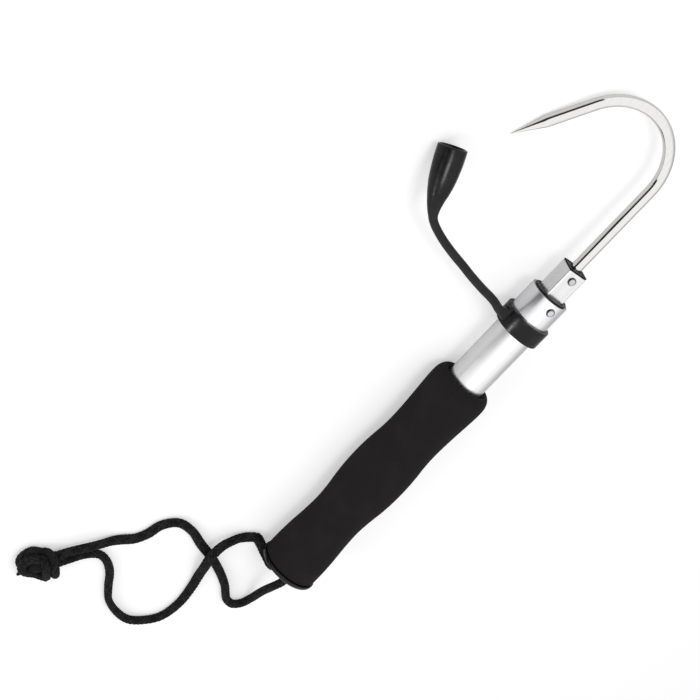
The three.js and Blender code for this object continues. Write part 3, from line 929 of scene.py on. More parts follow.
class BraidedCord(GrownTree):
    """A braid along a line: strands wound both ways, over and under each other, round a core."""

    def __init__(self) -> None:
        """Builds the tree."""
        super().__init__("braided_cord", {
            "Mean Radius": ("NodeSocketFloat", 1.85 * MM),
            "Strand Radius": ("NodeSocketFloat", 0.56 * MM),
            "Core Radius": ("NodeSocketFloat", 1.75 * MM),
            "Strands Each Way": ("NodeSocketInt", 8),
            "Turn Length": ("NodeSocketFloat", 19 * MM),
            "Weave Depth": ("NodeSocketFloat", 0.16 * MM),
            "Step": ("NodeSocketFloat", 0.42 * MM),
            "Unevenness": ("NodeSocketFloat", 0.16),
            "Seed": ("NodeSocketInt", 7),
            "Material": ("NodeSocketMaterial", None),
        })
        wires, given = self.wires, self.given
        girth, width = wires.attribute("girth"), wires.attribute("wide")
        across_line = wires.attribute("across", "FLOAT_VECTOR")
        line = wires.add("GeometryNodeMeshToCurve", {0: given.outputs["Geometry"]})
        line = wires.add("GeometryNodeResampleCurve", {
            "Curve": line, "Length": given.outputs["Step"]}, mode="LENGTH")
        run = wires.add("GeometryNodeSplineParameter").outputs["Length"]
        tangent = wires.add("GeometryNodeInputTangent").outputs[0]
        up = wires.vector("NORMALIZE", wires.vector("CROSS_PRODUCT", across_line, tangent))
        side = wires.vector("CROSS_PRODUCT", tangent, up)
        uneven = wires.add("ShaderNodeTexNoise", {
            "Vector": wires.add("GeometryNodeInputPosition"), "Scale": 60.0, "Detail": 1.0})
        swell = wires.product(wires.number("SUBTRACT", uneven.outputs[0], 0.5), given.outputs["Unevenness"])
        wide = wires.number("ADD", width, swell)
        flat = wires.number("POWER", wide, FLATTENING)
        turns = wires.number("DIVIDE", wires.product(run, math.tau), given.outputs["Turn Length"])
        wave = wires.number("COSINE", wires.product(turns, given.outputs["Strands Each Way"]))
        whole = wires.add("GeometryNodeJoinGeometry")
        for way in (1.0, -1.0):
            strands = wires.add("GeometryNodeDuplicateElements", {
                "Geometry": line.outputs[0], "Amount": given.outputs["Strands Each Way"]}, domain="SPLINE")
            share = wires.number(
                "DIVIDE", strands.outputs["Duplicate Index"], given.outputs["Strands Each Way"])
            angle = wires.number("ADD", wires.product(turns, way), wires.product(share, math.tau))
            weave = wires.product(wave, way, given.outputs["Weave Depth"])
            out = wires.product(wires.number("ADD", given.outputs["Mean Radius"], weave), girth)
            across = wires.product(wires.number("COSINE", angle), out, wide)
            upward = wires.product(wires.number("SINE", angle), out, flat)
            shift = wires.vector("ADD", wires.scaled(side, across), wires.scaled(up, upward))
            moved = wires.add("GeometryNodeSetPosition", {"Geometry": strands.outputs[0], "Offset": shift})
            tone = wires.add("FunctionNodeRandomValue", {
                "ID": strands.outputs["Duplicate Index"],
                "Seed": wires.number("ADD", given.outputs["Seed"], 1.0 + way),
            }, data_type="FLOAT")
            toned = wires.stored(moved, "strand_tone", tone.outputs[1])
            drawn = self.swept(toned, given.outputs["Strand Radius"], STRAND_SIDES, girth)
            wires.tree.links.new(drawn.outputs[0], whole.inputs[0])
        core_girth = wires.product(girth, wires.number("MINIMUM", flat, 1.0))
        core = self.swept(line, given.outputs["Core Radius"], CORE_SIDES, core_girth)
        wires.tree.links.new(core.outputs[0], whole.inputs[0])
        self.close(whole)


@dataclass
class Handle:
    """The round tube with its ferrule, its bush and the bush's two rivets."""

    rear: float = 4.7
    mouth: float = 220.0
    bore: float = 10.0
    ferrule_length: float = 17.1
    ferrule_wall: float = 0.45
    bush_rear: float = 200.0
    bush_radius: float = 9.8
    flange_radius: float = 10.4
    flange_rear: float = 220.2
    flange_front: float = 221.0
    window_half: float = 6.25
    window_corner: float = 0.9
    rivet_station: float = 215.4
    rivet_length: float = 4.0
    lock_hole: tuple[float, float] = (189.7, 2.7)

    def tube(self) -> Piece:
        """Makes the tube with its lock hole."""
        wall = eased([
            (self.rear, self.bore, 0.2), (self.rear, TUBE_RADIUS, 0.2),
            (self.mouth, TUBE_RADIUS, 0.3), (self.mouth, self.bore, 0.2)])
        tube = turned("round_tube", wall, Lie.LEVEL, 128)
        station, radius = self.lock_hole
        drill = skin(
            "lock_hole_drill",
            [[Vector((station + p.y, p.z, depth)) for p in circle(0, radius, 40)] for depth in (-14.0, -8.0)],
            Lie.LEVEL, Run.CAPPED)
        return dressed(bored(tube, [drill]), TUBE_METAL)

    def ferrule(self) -> Piece:
        """Makes the thin sleeve round the mouth."""
        inner, outer = TUBE_RADIUS + SLIP, TUBE_RADIUS + SLIP + self.ferrule_wall
        rear = self.mouth - self.ferrule_length
        wall = eased([
            (rear, inner, 0.05), (rear, outer, 0.2), (self.mouth, outer, 0.2), (self.mouth, inner, 0.05)])
        return dressed(turned("mouth_sleeve", wall, Lie.LEVEL, 128), FERRULE_METAL)

    def bush(self) -> Piece:
        """Makes the bush with its square window and its grooved flange."""
        front, half, corner = self.flange_front, self.window_half, self.window_corner
        window = square(0, half, corner)
        steps: Profile = [
            (front - 0.25, 8.6), (front - 0.3, 9.2), (front - 0.05, 9.5), (front, 9.75),
            (front - 0.02, 10.05), (front - 0.12, 10.28), (front - 0.3, self.flange_radius),
            (self.flange_rear, self.flange_radius), (self.flange_rear, self.bush_radius),
            (self.bush_rear + 0.4, self.bush_radius), (self.bush_rear, self.bush_radius - 0.4),
        ]
        loops = [square(self.bush_rear, half, corner), square(front - 0.3, half, corner)]
        loops += [
            square(front - 0.1, half + 0.1, corner + 0.1), square(front - 0.05, half + 0.35, corner + 0.3)]
        loops += [round_like(window, station, radius) for station, radius in steps]
        return dressed(skin("mouth_bush_moulding", loops, Lie.LEANING), BLACK_PLASTIC)

    def build(self, rivets: RivetHeads) -> None:
        """Makes and places every piece of the handle.

        Args:
            rivets: The tree that sets rivets.
        """
        for piece, node in (
            (self.tube(), "outer_tube"), (self.ferrule(), "mouth_ferrule"), (self.bush(), "mouth_bush")):
            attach(piece, "handle")
            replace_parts(reported(piece), node)
        radius = TUBE_RADIUS + SLIP + self.ferrule_wall
        heads = rivets.set_on("bush_rivets", self.rivet_station, radius, self.rivet_length)
        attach(heads, "handle")
        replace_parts(reported(heads), "bush_rivet_front", "bush_rivet_back")


@dataclass
class Grip:
    """The waisted foam sleeve."""

    rear: float = 4.7
    length: float = 149.5
    bore: float = 11.2
    lip_radius: float = 17.5
    outline: Table = (
        (0, 0.962), (0.024, 0.966), (0.074, 0.962), (0.133, 0.936), (0.202, 0.888), (0.276, 0.862),
        (0.341, 0.894), (0.41, 0.962), (0.47, 0.995), (0.539, 0.998), (0.598, 0.97), (0.653, 0.924),
        (0.707, 0.907), (0.767, 0.918), (0.832, 0.949), (0.892, 0.983), (0.931, 1.0), (0.955, 1.0))
    lip: Table = (
        (0.968, 0.99), (0.98, 0.962), (0.989, 0.925), (0.995, 0.885), (0.9985, 0.85), (1, 0.815))
    mouth: Table = (
        (0.0, 0.775), (0.15, 0.745), (0.5, 0.715), (1.2, 0.69), (2.4, 0.665), (4.2, 0.645), (6.5, 0.64))

    def build(self) -> None:
        stations = [0.008 + 0.947 * i / 150 for i in range(151)]
        front = self.rear + self.length
        outer = [(self.rear, self.lip_radius * 0.925), (self.rear + 0.25, self.lip_radius * 0.947),
                 (self.rear + 0.7, self.lip_radius * 0.96)]
        outer += [(self.rear + s * self.length, self.lip_radius * between(s, self.outline)) for s in stations]
        outer += [(self.rear + s * self.length, self.lip_radius * r) for s, r in self.lip]
        outer += [(front - back, self.lip_radius * r) for back, r in self.mouth]
        profile = [(self.rear, self.bore), *outer]
        sleeve = dressed(turned("foam_grip", profile, Lie.LEVEL, 128, 60), GRIP_FOAM)
        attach(sleeve, "handle")
        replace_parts(reported(sleeve), "grip")


@dataclass
class ButtCap:
    """The glossy cap with its domed rim, its spigot and the cord's two holes."""

    rear: float = 1.2
    flange: float = 4.4
    fillet: float = 3.0
    wall: float = 3.0
    spigot_radius: float = 9.8
    spigot_bore: float = 7.5
    spigot_front: float = 18.0
    hole_radius: float = 2.7
    holes: Table = ((2.3, -4.0), (-2.3, 4.0))
    countersink: Table = ((0.0, 1.3), (1.2, 1.12), (1.7, 1.0), (4.0, 1.0))

    def build(self) -> None:
        """Makes the cap and bores its holes."""
        corners = [
            (self.wall, 0.02, 0.0), (self.rear, 0.02, 0.0), (self.rear, GRIP_RADIUS, self.fillet),
            (self.flange, GRIP_RADIUS, 0.5), (self.flange, self.spigot_radius, 0.3),
            (self.spigot_front, self.spigot_radius, 0.4), (self.spigot_front, self.spigot_bore, 0.3),
            (self.wall, self.spigot_bore, 0.6)]
        cap = turned("butt_cap", eased(corners, steps=10), Lie.LEVEL, 128)
        drills = [
            skin(f"cord_hole_drill_{i}", [
                [Vector((x, y + p.y, z + p.z)) for p in circle(0, self.hole_radius * grow, 40)]
                for x, grow in self.countersink
            ], Lie.LEVEL, Run.CAPPED)
            for i, (y, z) in enumerate(self.holes)
        ]
        dressed(bored(cap, drills), BUTT_GLOSS)
        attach(cap, "handle")
        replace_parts(reported(cap), "end_cap")


@dataclass
class InnerTube:
    """The square tube that slides in the bush, the plug in its end and the rivet through both."""

    rear: float = 36.3
    front: float = 238.7
    half: float = 6.0
    corner: float = 0.9
    wall: float = 1.0
    plug_rear: float = 215.7
    plug_front: float = 239.7
    plug_half: float = 4.8
    brim: float = 0.8
    rivet_station: float = 234.1
    rivet_length: float = 3.0

    def tube(self) -> Piece:
        """Makes the square tube with eased ends."""
        inside, soft = self.half - self.wall, 0.12
        loops = [
            square(self.rear, self.half - soft, self.corner),
            square(self.rear + soft, self.half, self.corner),
            square(self.front - soft, self.half, self.corner),
            square(self.front, self.half - soft, self.corner),
            square(self.front, inside + soft, 0.5), square(self.front - soft, inside, 0.4),
            square(self.rear + soft, inside, 0.4), square(self.rear, inside + soft, 0.5),
        ]
        return dressed(skin("square_tube", loops, Lie.LEANING), SQUARE_METAL)

    def plug(self) -> Piece:
        """Makes the plug: a stem in the tube, a brim over its end and a lip round the wire's bore."""
        half, bore, soft = self.half, WIRE_RADIUS + SLIP, 0.12
        front, back = self.plug_front, self.plug_front - self.brim
        ring = square(0, half, self.corner)
        loops = [
            square(self.plug_rear, self.plug_half, 0.4), square(back, self.plug_half, 0.4),
            square(back, half - soft, self.corner), square(back + soft, half, self.corner),
            square(front - soft, half, self.corner), square(front, half - soft, self.corner),
            square(front, half - 0.9, 0.5), square(front - 0.35, half - 1.15, 0.4),
            round_like(ring, front - 0.35, bore + 0.7), round_like(ring, front, bore + 0.4),
            round_like(ring, front, bore + 0.1), round_like(ring, front - 0.4, bore),
            round_like(ring, self.plug_rear, bore),
        ]
        return dressed(skin("hook_plug_moulding", loops, Lie.LEANING), BLACK_PLASTIC)

    def build(self, rivets: RivetHeads) -> None:
        """Makes and places the tube, its plug and the rivet's two heads.

        Args:
            rivets: The tree that sets rivets.
        """
        for piece, node in ((self.tube(), "inner_tube"), (self.plug(), "hook_plug")):
            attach(piece, "slider")
            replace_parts(reported(piece), node)
        heads = rivets.set_on("plug_rivet_heads", self.rivet_station, self.half, self.rivet_length)
        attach(heads, "slider")
        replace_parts(reported(heads), "plug_rivet")


@dataclass
class Hook:
    """The wire: a straight shank, a round bend and a straight arm that ends in a cone."""

    shank_rear: float = 216.7
    bend_steps: int = 96
    straight: tuple[float, ...] = (240.0, 260.0, 280.0)
    plain_shares: tuple[float, ...] = (0.25, 0.5, 0.75, 0.92)
    tip_steps: int = 24
    shoulder: float = 0.12
    tip_share: float = 0.04
    tip_end: float = 0.05

    def line(self) -> tuple[list[Vector], list[float]]:
        """Draws the wire's middle line.

        Returns:
            The points in the hook's plane, and the share of the full radius at each.
        """
        points = [Vector((x, 0, 0)) for x in (self.shank_rear, *self.straight)]
        for i in range(self.bend_steps + 1):
            angle = BEND_ANGLE * i / self.bend_steps
            points.append(Vector((
                BEND_START + BEND_RADIUS * math.sin(angle), BEND_RADIUS * (1 - math.cos(angle)), 0)))
        way = Vector((math.cos(BEND_ANGLE), math.sin(BEND_ANGLE), 0))
        start, plain = points[-1], ARM_LENGTH - POINT_LENGTH
        girths = [1.0] * len(points)
        for share in self.plain_shares:
            points.append(start + way * plain * share)
            girths.append(1.0)
        for i in range(self.tip_steps + 1):
            t = i / self.tip_steps
            eased_in = t if t > self.shoulder else t * (0.5 + 0.5 * t / self.shoulder)
            points.append(start + way * (plain + POINT_LENGTH * t))
            girths.append(1 - (1 - self.tip_share) * eased_in)
        points.append(start + way * (ARM_LENGTH + self.tip_end))
        girths.append(self.tip_share * 0.4)
        return points, girths

    def build(self, wire: DrawnWire) -> None:
        """Draws the wire along its line.

        Args:
            wire: The tree that draws it.
        """
        points, girths = self.line()
        line = [laid(point, Lie.LEANING) for point in points]
        host = host_line("hook_wire", line, girths, carried_sides(line), [1.0] * len(line))
        hook = wire.grow(host, WIRE_METAL, 40, Sides=64)
        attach(hook, "slider")
        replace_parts(reported(hook), "hook")


@dataclass
class Guard:
    """The rubber guard: a collar on the tube, a strap and a hollow cap, moulded in one."""

    ring_rear: float = 193.3
    ring_front: float = 203.8
    ring_step: float = 202.7
    ring_radius: float = 13.8
    lip_bore: float = 11.85
    ring_edge: float = 0.5
    root: Point = (197.95, 16.55, 17.6)
    spread: float = 1.3
    forward: float = 32.5
    reach: float = 87.25
    cap_length: float = 29.8
    cap_radius: float = 7.6
    heading: float = math.radians(10.9)
    dive: float = math.radians(25.6)
    sides: int = 48
    shares: tuple[Point, ...] = (
        (0, 0, 0), (0.025, 0.03, 0), (0.122, 0.125, 0), (0.206, 0.263, 0.05), (0.297, 0.395, 0.16),
        (0.395, 0.52, 0.32), (0.49, 0.646, 0.54), (0.593, 0.763, 0.78), (0.71, 0.87, 1.1),
        (0.775, 0.917, 1.26), (0.85, 0.959, 1.4))
    widths: Table = (
        (-110, 9.6), (-99, 9.6), (-97.6, 9.0), (-96.2, 7.4), (-94.6, 6.0), (-92.6, 5.2), (-90, 4.85),
        (-80, 4.7), (-34, 4.55), (-10.5, 4.45), (-6.6, 4.8), (-3.6, 5.9), (0, 7.6), (3.5, 9.4), (6, 10.8),
        (12.5, 13.44), (20.9, 15.0), (26.0, 15.24), (28.9, 15.16))
    thicknesses: Table = (
        (-110, 5.2), (-97.4, 5.2), (-96.2, 4.6), (-95.0, 4.1), (-93.4, 3.75), (-90, 3.6), (-34, 3.5),
        (-10.5, 3.5), (-6.6, 3.9), (-3.6, 5.2), (0, 7.3), (3.5, 9.3), (6, 10.8))
    inside: Table = ((9.6, 2.4), (11.5, 2.75), (17.9, 3.9), (24.0, 5.0), (28.9, 6.0))
    viewer: Point = (0.24, 0.63, 0.74)
    mouth_slant: float = 0.12
    slant_run: tuple[float, float] = (16, 13)
    buried: tuple[float, ...] = (3.6, 3.0, 2.4, 1.8, 1.2, 0.6)
    spread_run: float = 5.5
    neck_run: tuple[float, float] = (-10, 6.0)
    neck_steps: int = 32
    cap_steps: tuple[int, float] = (38, 0.6)
    lip: tuple[float, float] = (29.1, 0.7)
    lip_steps: int = 10
    well: tuple[float, float] = (28.2, 0.8)
    well_steps: int = 23
    well_end: Table = ((9.7, 2.0), (9.3, 1.2), (9.15, 0.3))
    rear_rings: int = 70

    def way(self) -> Vector:
        """Gives the cap's direction, from its neck to its mouth."""
        flat = math.cos(self.dive)
        return Vector((math.cos(self.heading) * flat, math.sin(self.heading) * flat, -math.sin(self.dive)))

    def neck(self) -> Vector:
        """Gives the point where the strap becomes the cap."""
        height = self.cap_length * math.sin(self.dive) + 0.96 * self.cap_radius * math.cos(self.dive)
        return Vector((self.root[0] + self.forward, self.root[1] + self.reach, height))

    def route(self) -> Loop:
        """Draws the strap's middle line from the root to the cap's neck.

        Returns:
            The points, about half a millimetre apart.
        """
        neck = self.neck()
        rise = neck.z - self.root[2]
        points = [
            Vector((self.root[0] + a * self.forward, self.root[1] + b * self.reach, self.root[2] + c * rise))
            for a, b, c in self.shares
        ]
        points += [neck - self.way() * 2.75, neck]
        return smooth_route(points, 14)

    def section(self, place: Vector, tangent: Vector, width: float, thickness: float, power: float) -> Loop:
        """Draws one cross-section of the strap or the cap.

        Args:
            place: Its middle.
            tangent: The direction it faces.
            width: Its level width.
            thickness: Its size across that.
            power: 2 for an ellipse, more for a squarer form.

        Returns:
            The ring's points.
        """
        side = tangent.cross(Vector((0, 0, 1))).normalized()
        up = side.cross(tangent).normalized()
        ring: Loop = []
        for i in range(self.sides):
            angle = math.tau * i / self.sides
            c, s = math.cos(angle), math.sin(angle)
            across = math.copysign(abs(c) ** (2 / power), c) * width / 2
            upward = math.copysign(abs(s) ** (2 / power), s) * thickness / 2
            ring.append(place + side * across + up * upward)
        return ring

    def line(self) -> list[tuple[float, Vector, Vector, float]]:
        """Draws the middle line of the strap and the cap as one smooth run.

        Returns:
            Distance past the neck, place, direction and squareness of each section, to just behind the lip.
        """
        route = self.route()
        root, neck, way = Vector(self.root), self.neck(), self.way()
        left = -route_length(route)
        run: list[tuple[float, Vector, Vector, float]] = []
        for back in self.buried:
            run.append((left - back, root + Vector((self.spread, -back, 0)), Vector((0, 1, 0)), 3.0))
        for before, here, after in zip([route[0], *route], route, [*route[1:], route[-1]]):
            left += (here - before).length
            if left > self.neck_run[0]:
                break
            ahead = self.spread * max(0.0, 1 - (here - root).length / self.spread_run) ** 2
            run.append((left, here + Vector((ahead, 0, 0)), (after - before).normalized(), 3.0))
        start, leave = run[-1][1], run[-1][2]
        begin, end = run[-1][0], self.neck_run[1]
        reach = (neck + way * end - start).length
        for i in range(1, self.neck_steps + 1):
            t = i / self.neck_steps
            place = (
                start * (2 * t**3 - 3 * t**2 + 1)
                + leave * reach * (t**3 - 2 * t**2 + t)
                + (neck + way * end) * (3 * t**2 - 2 * t**3)
                + way * reach * (t**3 - t**2)
            )
            turn = (place - run[-1][1]).normalized() if i < self.neck_steps else way
            run.append((begin + (end - begin) * t, place, turn, 3.0 - t * (2 - t)))
        count, step = self.cap_steps
        run += [(s, neck + way * s, way, 2.0) for s in (6.5 + step * i for i in range(count))]
        return run

    def slanted(self, ring: Loop, middle: Vector, s: float) -> Loop:
        """Slants a ring of the cap, more towards the mouth, which looks up a little.

        Args:
            ring: The ring's points.
            middle: The ring's middle.
            s: How far past the neck it lies.

        Returns:
            The slanted ring.
        """
        share, way = max(0, s - self.slant_run[0]) / self.slant_run[1], self.way()
        toward = Vector(self.viewer)
        toward = (toward - way * toward.dot(way)).normalized()
        return [point - way * (point - middle).dot(toward) * self.mouth_slant * share for point in ring]

    def sections(self) -> list[Loop]:
        """Draws every section from inside the collar, along the strap and cap, and back inside the cap.

        Returns:
            The rings in order.
        """
        neck, way = self.neck(), self.way()
        rings = []
        for s, place, turn, power in self.line():
            width = between(s, self.widths)
            thick = width if s > 6 else between(s, self.thicknesses)
            rings.append(self.slanted(self.section(place, turn, width, thick, power), place, s))
        rim_out, rim_in = self.widths[-1][1] / 2, self.inside[-1][1]
        middle, half = (rim_out + rim_in) / 2, (rim_out - rim_in) / 2
        turns = [math.pi * i / self.lip_steps for i in range(self.lip_steps + 1)]
        profile = [(self.lip[0] + self.lip[1] * math.sin(a), middle + half * math.cos(a)) for a in turns]
        depths = [self.well[0] - self.well[1] * i for i in range(self.well_steps)]
        profile += [*((s, between(s, self.inside)) for s in depths), *self.well_end]
        for s, radius in profile:
            place = neck + way * s
            rings.append(self.slanted(self.section(place, way, 2 * radius, 2 * radius, 2), place, s))
        return rings

    def collar(self) -> Piece:
        """Makes the collar, with its edges eased."""
        bore, edge = TUBE_RADIUS + SLIP, self.ring_edge
        wall = eased([
            (self.ring_rear, bore, 0.25), (self.ring_rear, self.ring_radius, edge),
            (self.ring_front, self.ring_radius, edge), (self.ring_front, self.lip_bore, 0.15),
            (self.ring_step, self.lip_bore, 0.0), (self.ring_step, bore, 0.0)])
        return dressed(turned("rubber_collar", wall, Lie.LEVEL, 128), GUARD_RUBBER)

    def build(self) -> None:
        """Makes the collar and the strap's two halves."""
        collar = self.collar()
        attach(collar, "guard_ring")
        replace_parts(reported(collar), "guard_ring")
        rings, half = self.sections(), self.rear_rings
        rear = skin("strap_rear_half", rings[: half + 1], Lie.TABLE, Run.CAPPED)
        front = skin("strap_front_half_and_cap", rings[half:], Lie.TABLE, Run.CAPPED, 50)
        for piece in (rear, front):
            dressed(piece, GUARD_RUBBER)
        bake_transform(rear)
        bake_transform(front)
        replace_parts(reported(rear), "guard_strap")
        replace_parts(reported(front), "guard_cap")


@dataclass
class Lanyard:
    """The braided cord: two free legs that leave the butt cap, and the knot that joins them."""

    diameter: float = 5.0
    knot_middle: Point = (-59.5, 128.2, 6.6)
    knot_heading: float = math.radians(122)
    upper: tuple[Point, ...] = (
        (0, 2.3, 13.6), (-2, 2.4, 13.45), (-4.1, 2.7, 12.4), (-5.6, 3.3, 10), (-4.6, 5.4, 4),
        (2.9, 17.6, 2.7), (2.8, 20.5, 3.1), (0.5, 24.5, 2.7), (-1.7, 31, 4.5), (-6.7, 37.3, 6.8),
        (-14.3, 39.6, 8.2), (-22.7, 37.1, 7), (-32.1, 32.4, 3.8), (-43.6, 28.6, 2.6), (-57.6, 27.3, 2.6),
        (-70.1, 30.9, 2.6), (-76.6, 39.4, 2.6), (-79, 48, 2.6), (-76.5, 58.1, 2.6), (-70.1, 69, 2.6),
        (-60.9, 76.4, 2.6), (-51.6, 82.6, 2.6), (-45, 90, 2.6), (-42.6, 97.4, 2.6), (-45.7, 104.6, 2.6),
        (-51.4, 110.4, 2.8), (-55.9, 116, 4))
    upper_widths: Table = (
        (0, 1.0), (3, 1.0), (5, 1.3), (7, 1.5), (8, 1.5), (11, 1.45), (13, 1.35), (14, 1.22), (15, 1.1),
        (17, 1.0), (18, 0.88), (19, 0.82), (20, 0.98), (21, 1.02), (22, 0.94), (26, 1.0))
    lower: tuple[Point, ...] = (
        (0, -2.3, 21.6), (-6, -2.2, 21), (-13.7, -2.4, 17.8), (-21.8, -5, 12.6), (-29.6, -8.4, 7.6),
        (-36.8, -10.3, 4.2), (-42.8, -9, 2.8), (-45.5, -4.4, 2.6), (-43.8, 1.6, 2.6), (-39.8, 6, 2.6),
        (-35.2, 10.3, 2.6), (-30.3, 16.5, 2.6), (-25, 24.4, 2.6), (-19.4, 34.4, 2.6), (-13.8, 46.5, 2.6),
        (-7.6, 58.2, 2.6), (-5.7, 69.7, 2.6), (-11.3, 77.4, 2.6), (-19.8, 80.5, 2.6), (-25.6, 85.1, 2.6),
        (-28.8, 91.2, 2.6), (-31.4, 97.1, 3.4), (-34, 102.9, 5), (-37.7, 107.9, 5.6), (-41.9, 112.5, 5.4),
        (-46.6, 116.9, 5), (-50.9, 120.2, 4.6))
    lower_widths: Table = (
        (0, 1.0), (6, 1.05), (10, 1.0), (12, 1.12), (14, 1.2), (15, 1.08), (16, 1.12), (17, 1.35), (18, 1.5),
        (20, 1.5), (21, 1.38), (22, 1.15), (23, 1.0), (26, 1.0))
    knot: tuple[tuple[Point, Point], ...] = (
        ((-15, 0.2, 4.3), (0, 1, 0)), ((-11, -0.2, 4.2), (0, 1, 0)), ((-6.5, -1.5, 4.2), (0, 1, 0)),
        ((-2, -4.6, 5), (0, 0.6, 0.8)), ((2.5, -7.4, 6), (0, 0.2, 1)), ((7.2, -5.2, 6.4), (0, 0, 1)),
        ((8.4, -0.6, 6.2), (0, 0, 1)), ((6, 2.9, 5.6), (0, 0, 1)), ((1, 4.4, 5.4), (0, 0.3, 1)),
        ((-4, 7.6, 5), (0.5, 0.2, 0.8)), ((-7.6, 9, 5.6), (1, 0, 0.3)), ((-7.6, 6.6, 9.2), (1, 0, 0)),
        ((-7, 2, 10.9), (1, 0, 0)), ((-6.4, -2.8, 9.6), (1, 0, 0)), ((-4.6, -5.6, 6.4), (1, 0.2, 0)),
        ((-0.5, -3.6, 4.2), (0.6, 0.6, 0.3)), ((4, 1.2, 3.4), (-0.5, 0.8, 0)),
        ((7.4, 5.8, 2.6), (-0.6, 0.7, 0)), ((10.4, 9.5, 1.7), (-0.6, 0.7, 0)))
    pair_half: float = 2.4
    short_tail: int = 22
    tail_girth: tuple[float, float] = (0.3, 20)
    heart: Point = (6.4, 5.0, 4.4)
    heart_height: float = 6.2
    settling: tuple[float, float] = (5.5, 2.5)
    hidden_end: float = 3

    def leg(self, name: str, points: Sequence[Point], widths: Table, braid: BraidedCord,
            node: str) -> None:
        """Args:
            name: The piece's name.
            points: The route's points, as the CAD has them.
            widths: How wide the cord lies at the route's points, by their number.
            braid: The tree that braids it.
            node: The CAD node that it stands for.
        """
        steps = 8
        route = smooth_route(points, steps)
        wide = [between(i / steps, widths) for i in range(len(route))]
        for point, width in zip(route, wide):
            lying = min(1.0, max(0.0, (self.settling[0] - point.z) / self.settling[1]))
            point.z -= lying * self.diameter / 2 * max(0.0, 1 - width**FLATTENING)
        route.append(route[-1] + (route[-1] - route[-2]).normalized() * self.hidden_end)
        route = [laid(point, Lie.TABLE) for point in route]
        host = host_line(name, route, [1.0] * len(route), level_sides(route), [*wide, wide[-1]])
        cord = braid.grow(host, CORD_FIBRE)
        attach(cord, "handle")
        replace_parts(reported(cord), node)

    def strand(self, offset: float, tail: int) -> Piece:
        """Lays out one of the knot's two strands.

        Args:
            offset: How far it lies to one side of the pair's middle line, in millimetres.
            tail: How many points of the route are left off at the tail.

        Returns:
            The strand's host line.
        """
        along = Vector((math.cos(self.knot_heading), math.sin(self.knot_heading), 0))
        across = Vector((-along.y, along.x, 0))
        steps = 10
        route = smooth_route([point for point, _ in self.knot], steps)
        sides = [Vector(side) for _, side in self.knot]
        shifted = []
        for i, point in enumerate(route[: len(route) - tail]):
            way = (route[min(i + 1, len(route) - 1)] - route[max(i - 1, 0)]).normalized()
            side = sides[i // steps].lerp(sides[min(i // steps + 1, len(sides) - 1)], i % steps / steps)
            shifted.append(point + (side - way * side.dot(way)).normalized() * offset)
        origin = Vector((*self.knot_middle[:2], 0))
        line = [laid(origin + along * p.x + across * p.y + Vector((0, 0, p.z)), Lie.TABLE) for p in shifted]
        least, run = self.tail_girth
        girths = [min(1.0, least + (len(line) - 1 - i) / run) for i in range(len(line))]
        return host_line("knot_strand", line, girths, carried_sides(line), [1.0] * len(line))

    def tied(self, braid: BraidedCord) -> Piece:
        """Braids both strands of the overhand knot round a soft heart.

        Args:
            braid: The tree that braids them.

        Returns:
            The knot.
        """
        knot = braid.grow(self.strand(self.pair_half, 0), CORD_FIBRE, Seed=11)
        second = braid.grow(self.strand(-self.pair_half, self.short_tail), CORD_FIBRE, Seed=23)
        knot.name = knot.data.name = "overhand_knot"
        form = bmesh.new()
        form.from_mesh(knot.data)
        form.from_mesh(second.data)
        turn = Matrix.Rotation(self.knot_heading, 4, "Z")
        size = Matrix.Diagonal((*(half * MM for half in self.heart), 1.0))
        place = Matrix.Translation(laid((*self.knot_middle[:2], self.heart_height), Lie.TABLE))
        bmesh.ops.create_uvsphere(
            form, u_segments=24, v_segments=12, radius=1.0, matrix=place @ turn @ size)
        form.to_mesh(knot.data)
        form.free()
        bpy.data.objects.remove(second)
        smooth_shaded(knot, 35)
        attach(knot, "handle")
        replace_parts(reported(knot), "lanyard_knot")
        return knot

    def build(self, braid: BraidedCord) -> None:
        """Makes the knot and both legs.

        Args:
            braid: The tree that braids them.
        """
        knot = self.tied(braid)
        self.leg("cord_upper_leg", self.upper, self.upper_widths, braid, "lanyard_upper_leg")
        self.leg("cord_lower_leg", self.lower, self.lower_widths, braid, "lanyard_lower_leg")


@dataclass
class HiddenWorks:
    """The CAD nodes inside the tube, which keep their own shape and get a finish."""

    finishes: dict[str, Finish] = field(default_factory=lambda: {
        "tail_guide": WHITE_NYLON,
        "guide_pin": RIVET_METAL,
        "lock_button": RIVET_METAL,
        "lock_spring": RIVET_METAL,
        "lanyard_bight": CORD_FIBRE,
    })

    def build(self) -> None:
        """Gives each node its finish."""
        for name, finish in self.finishes.items():
            node = frame["nodes"][name]
            if not node.material_slots:
                node.data.materials.append(None)
            for slot in node.material_slots:
                slot.material = finish.material()
            LOG.info("%s: dressed as %s", name, finish.name)


DARK_FINISHES = (GUARD_RUBBER, BLACK_PLASTIC, BUTT_GLOSS)
PALE_FINISHES = (TUBE_METAL, FERRULE_METAL, SQUARE_METAL)


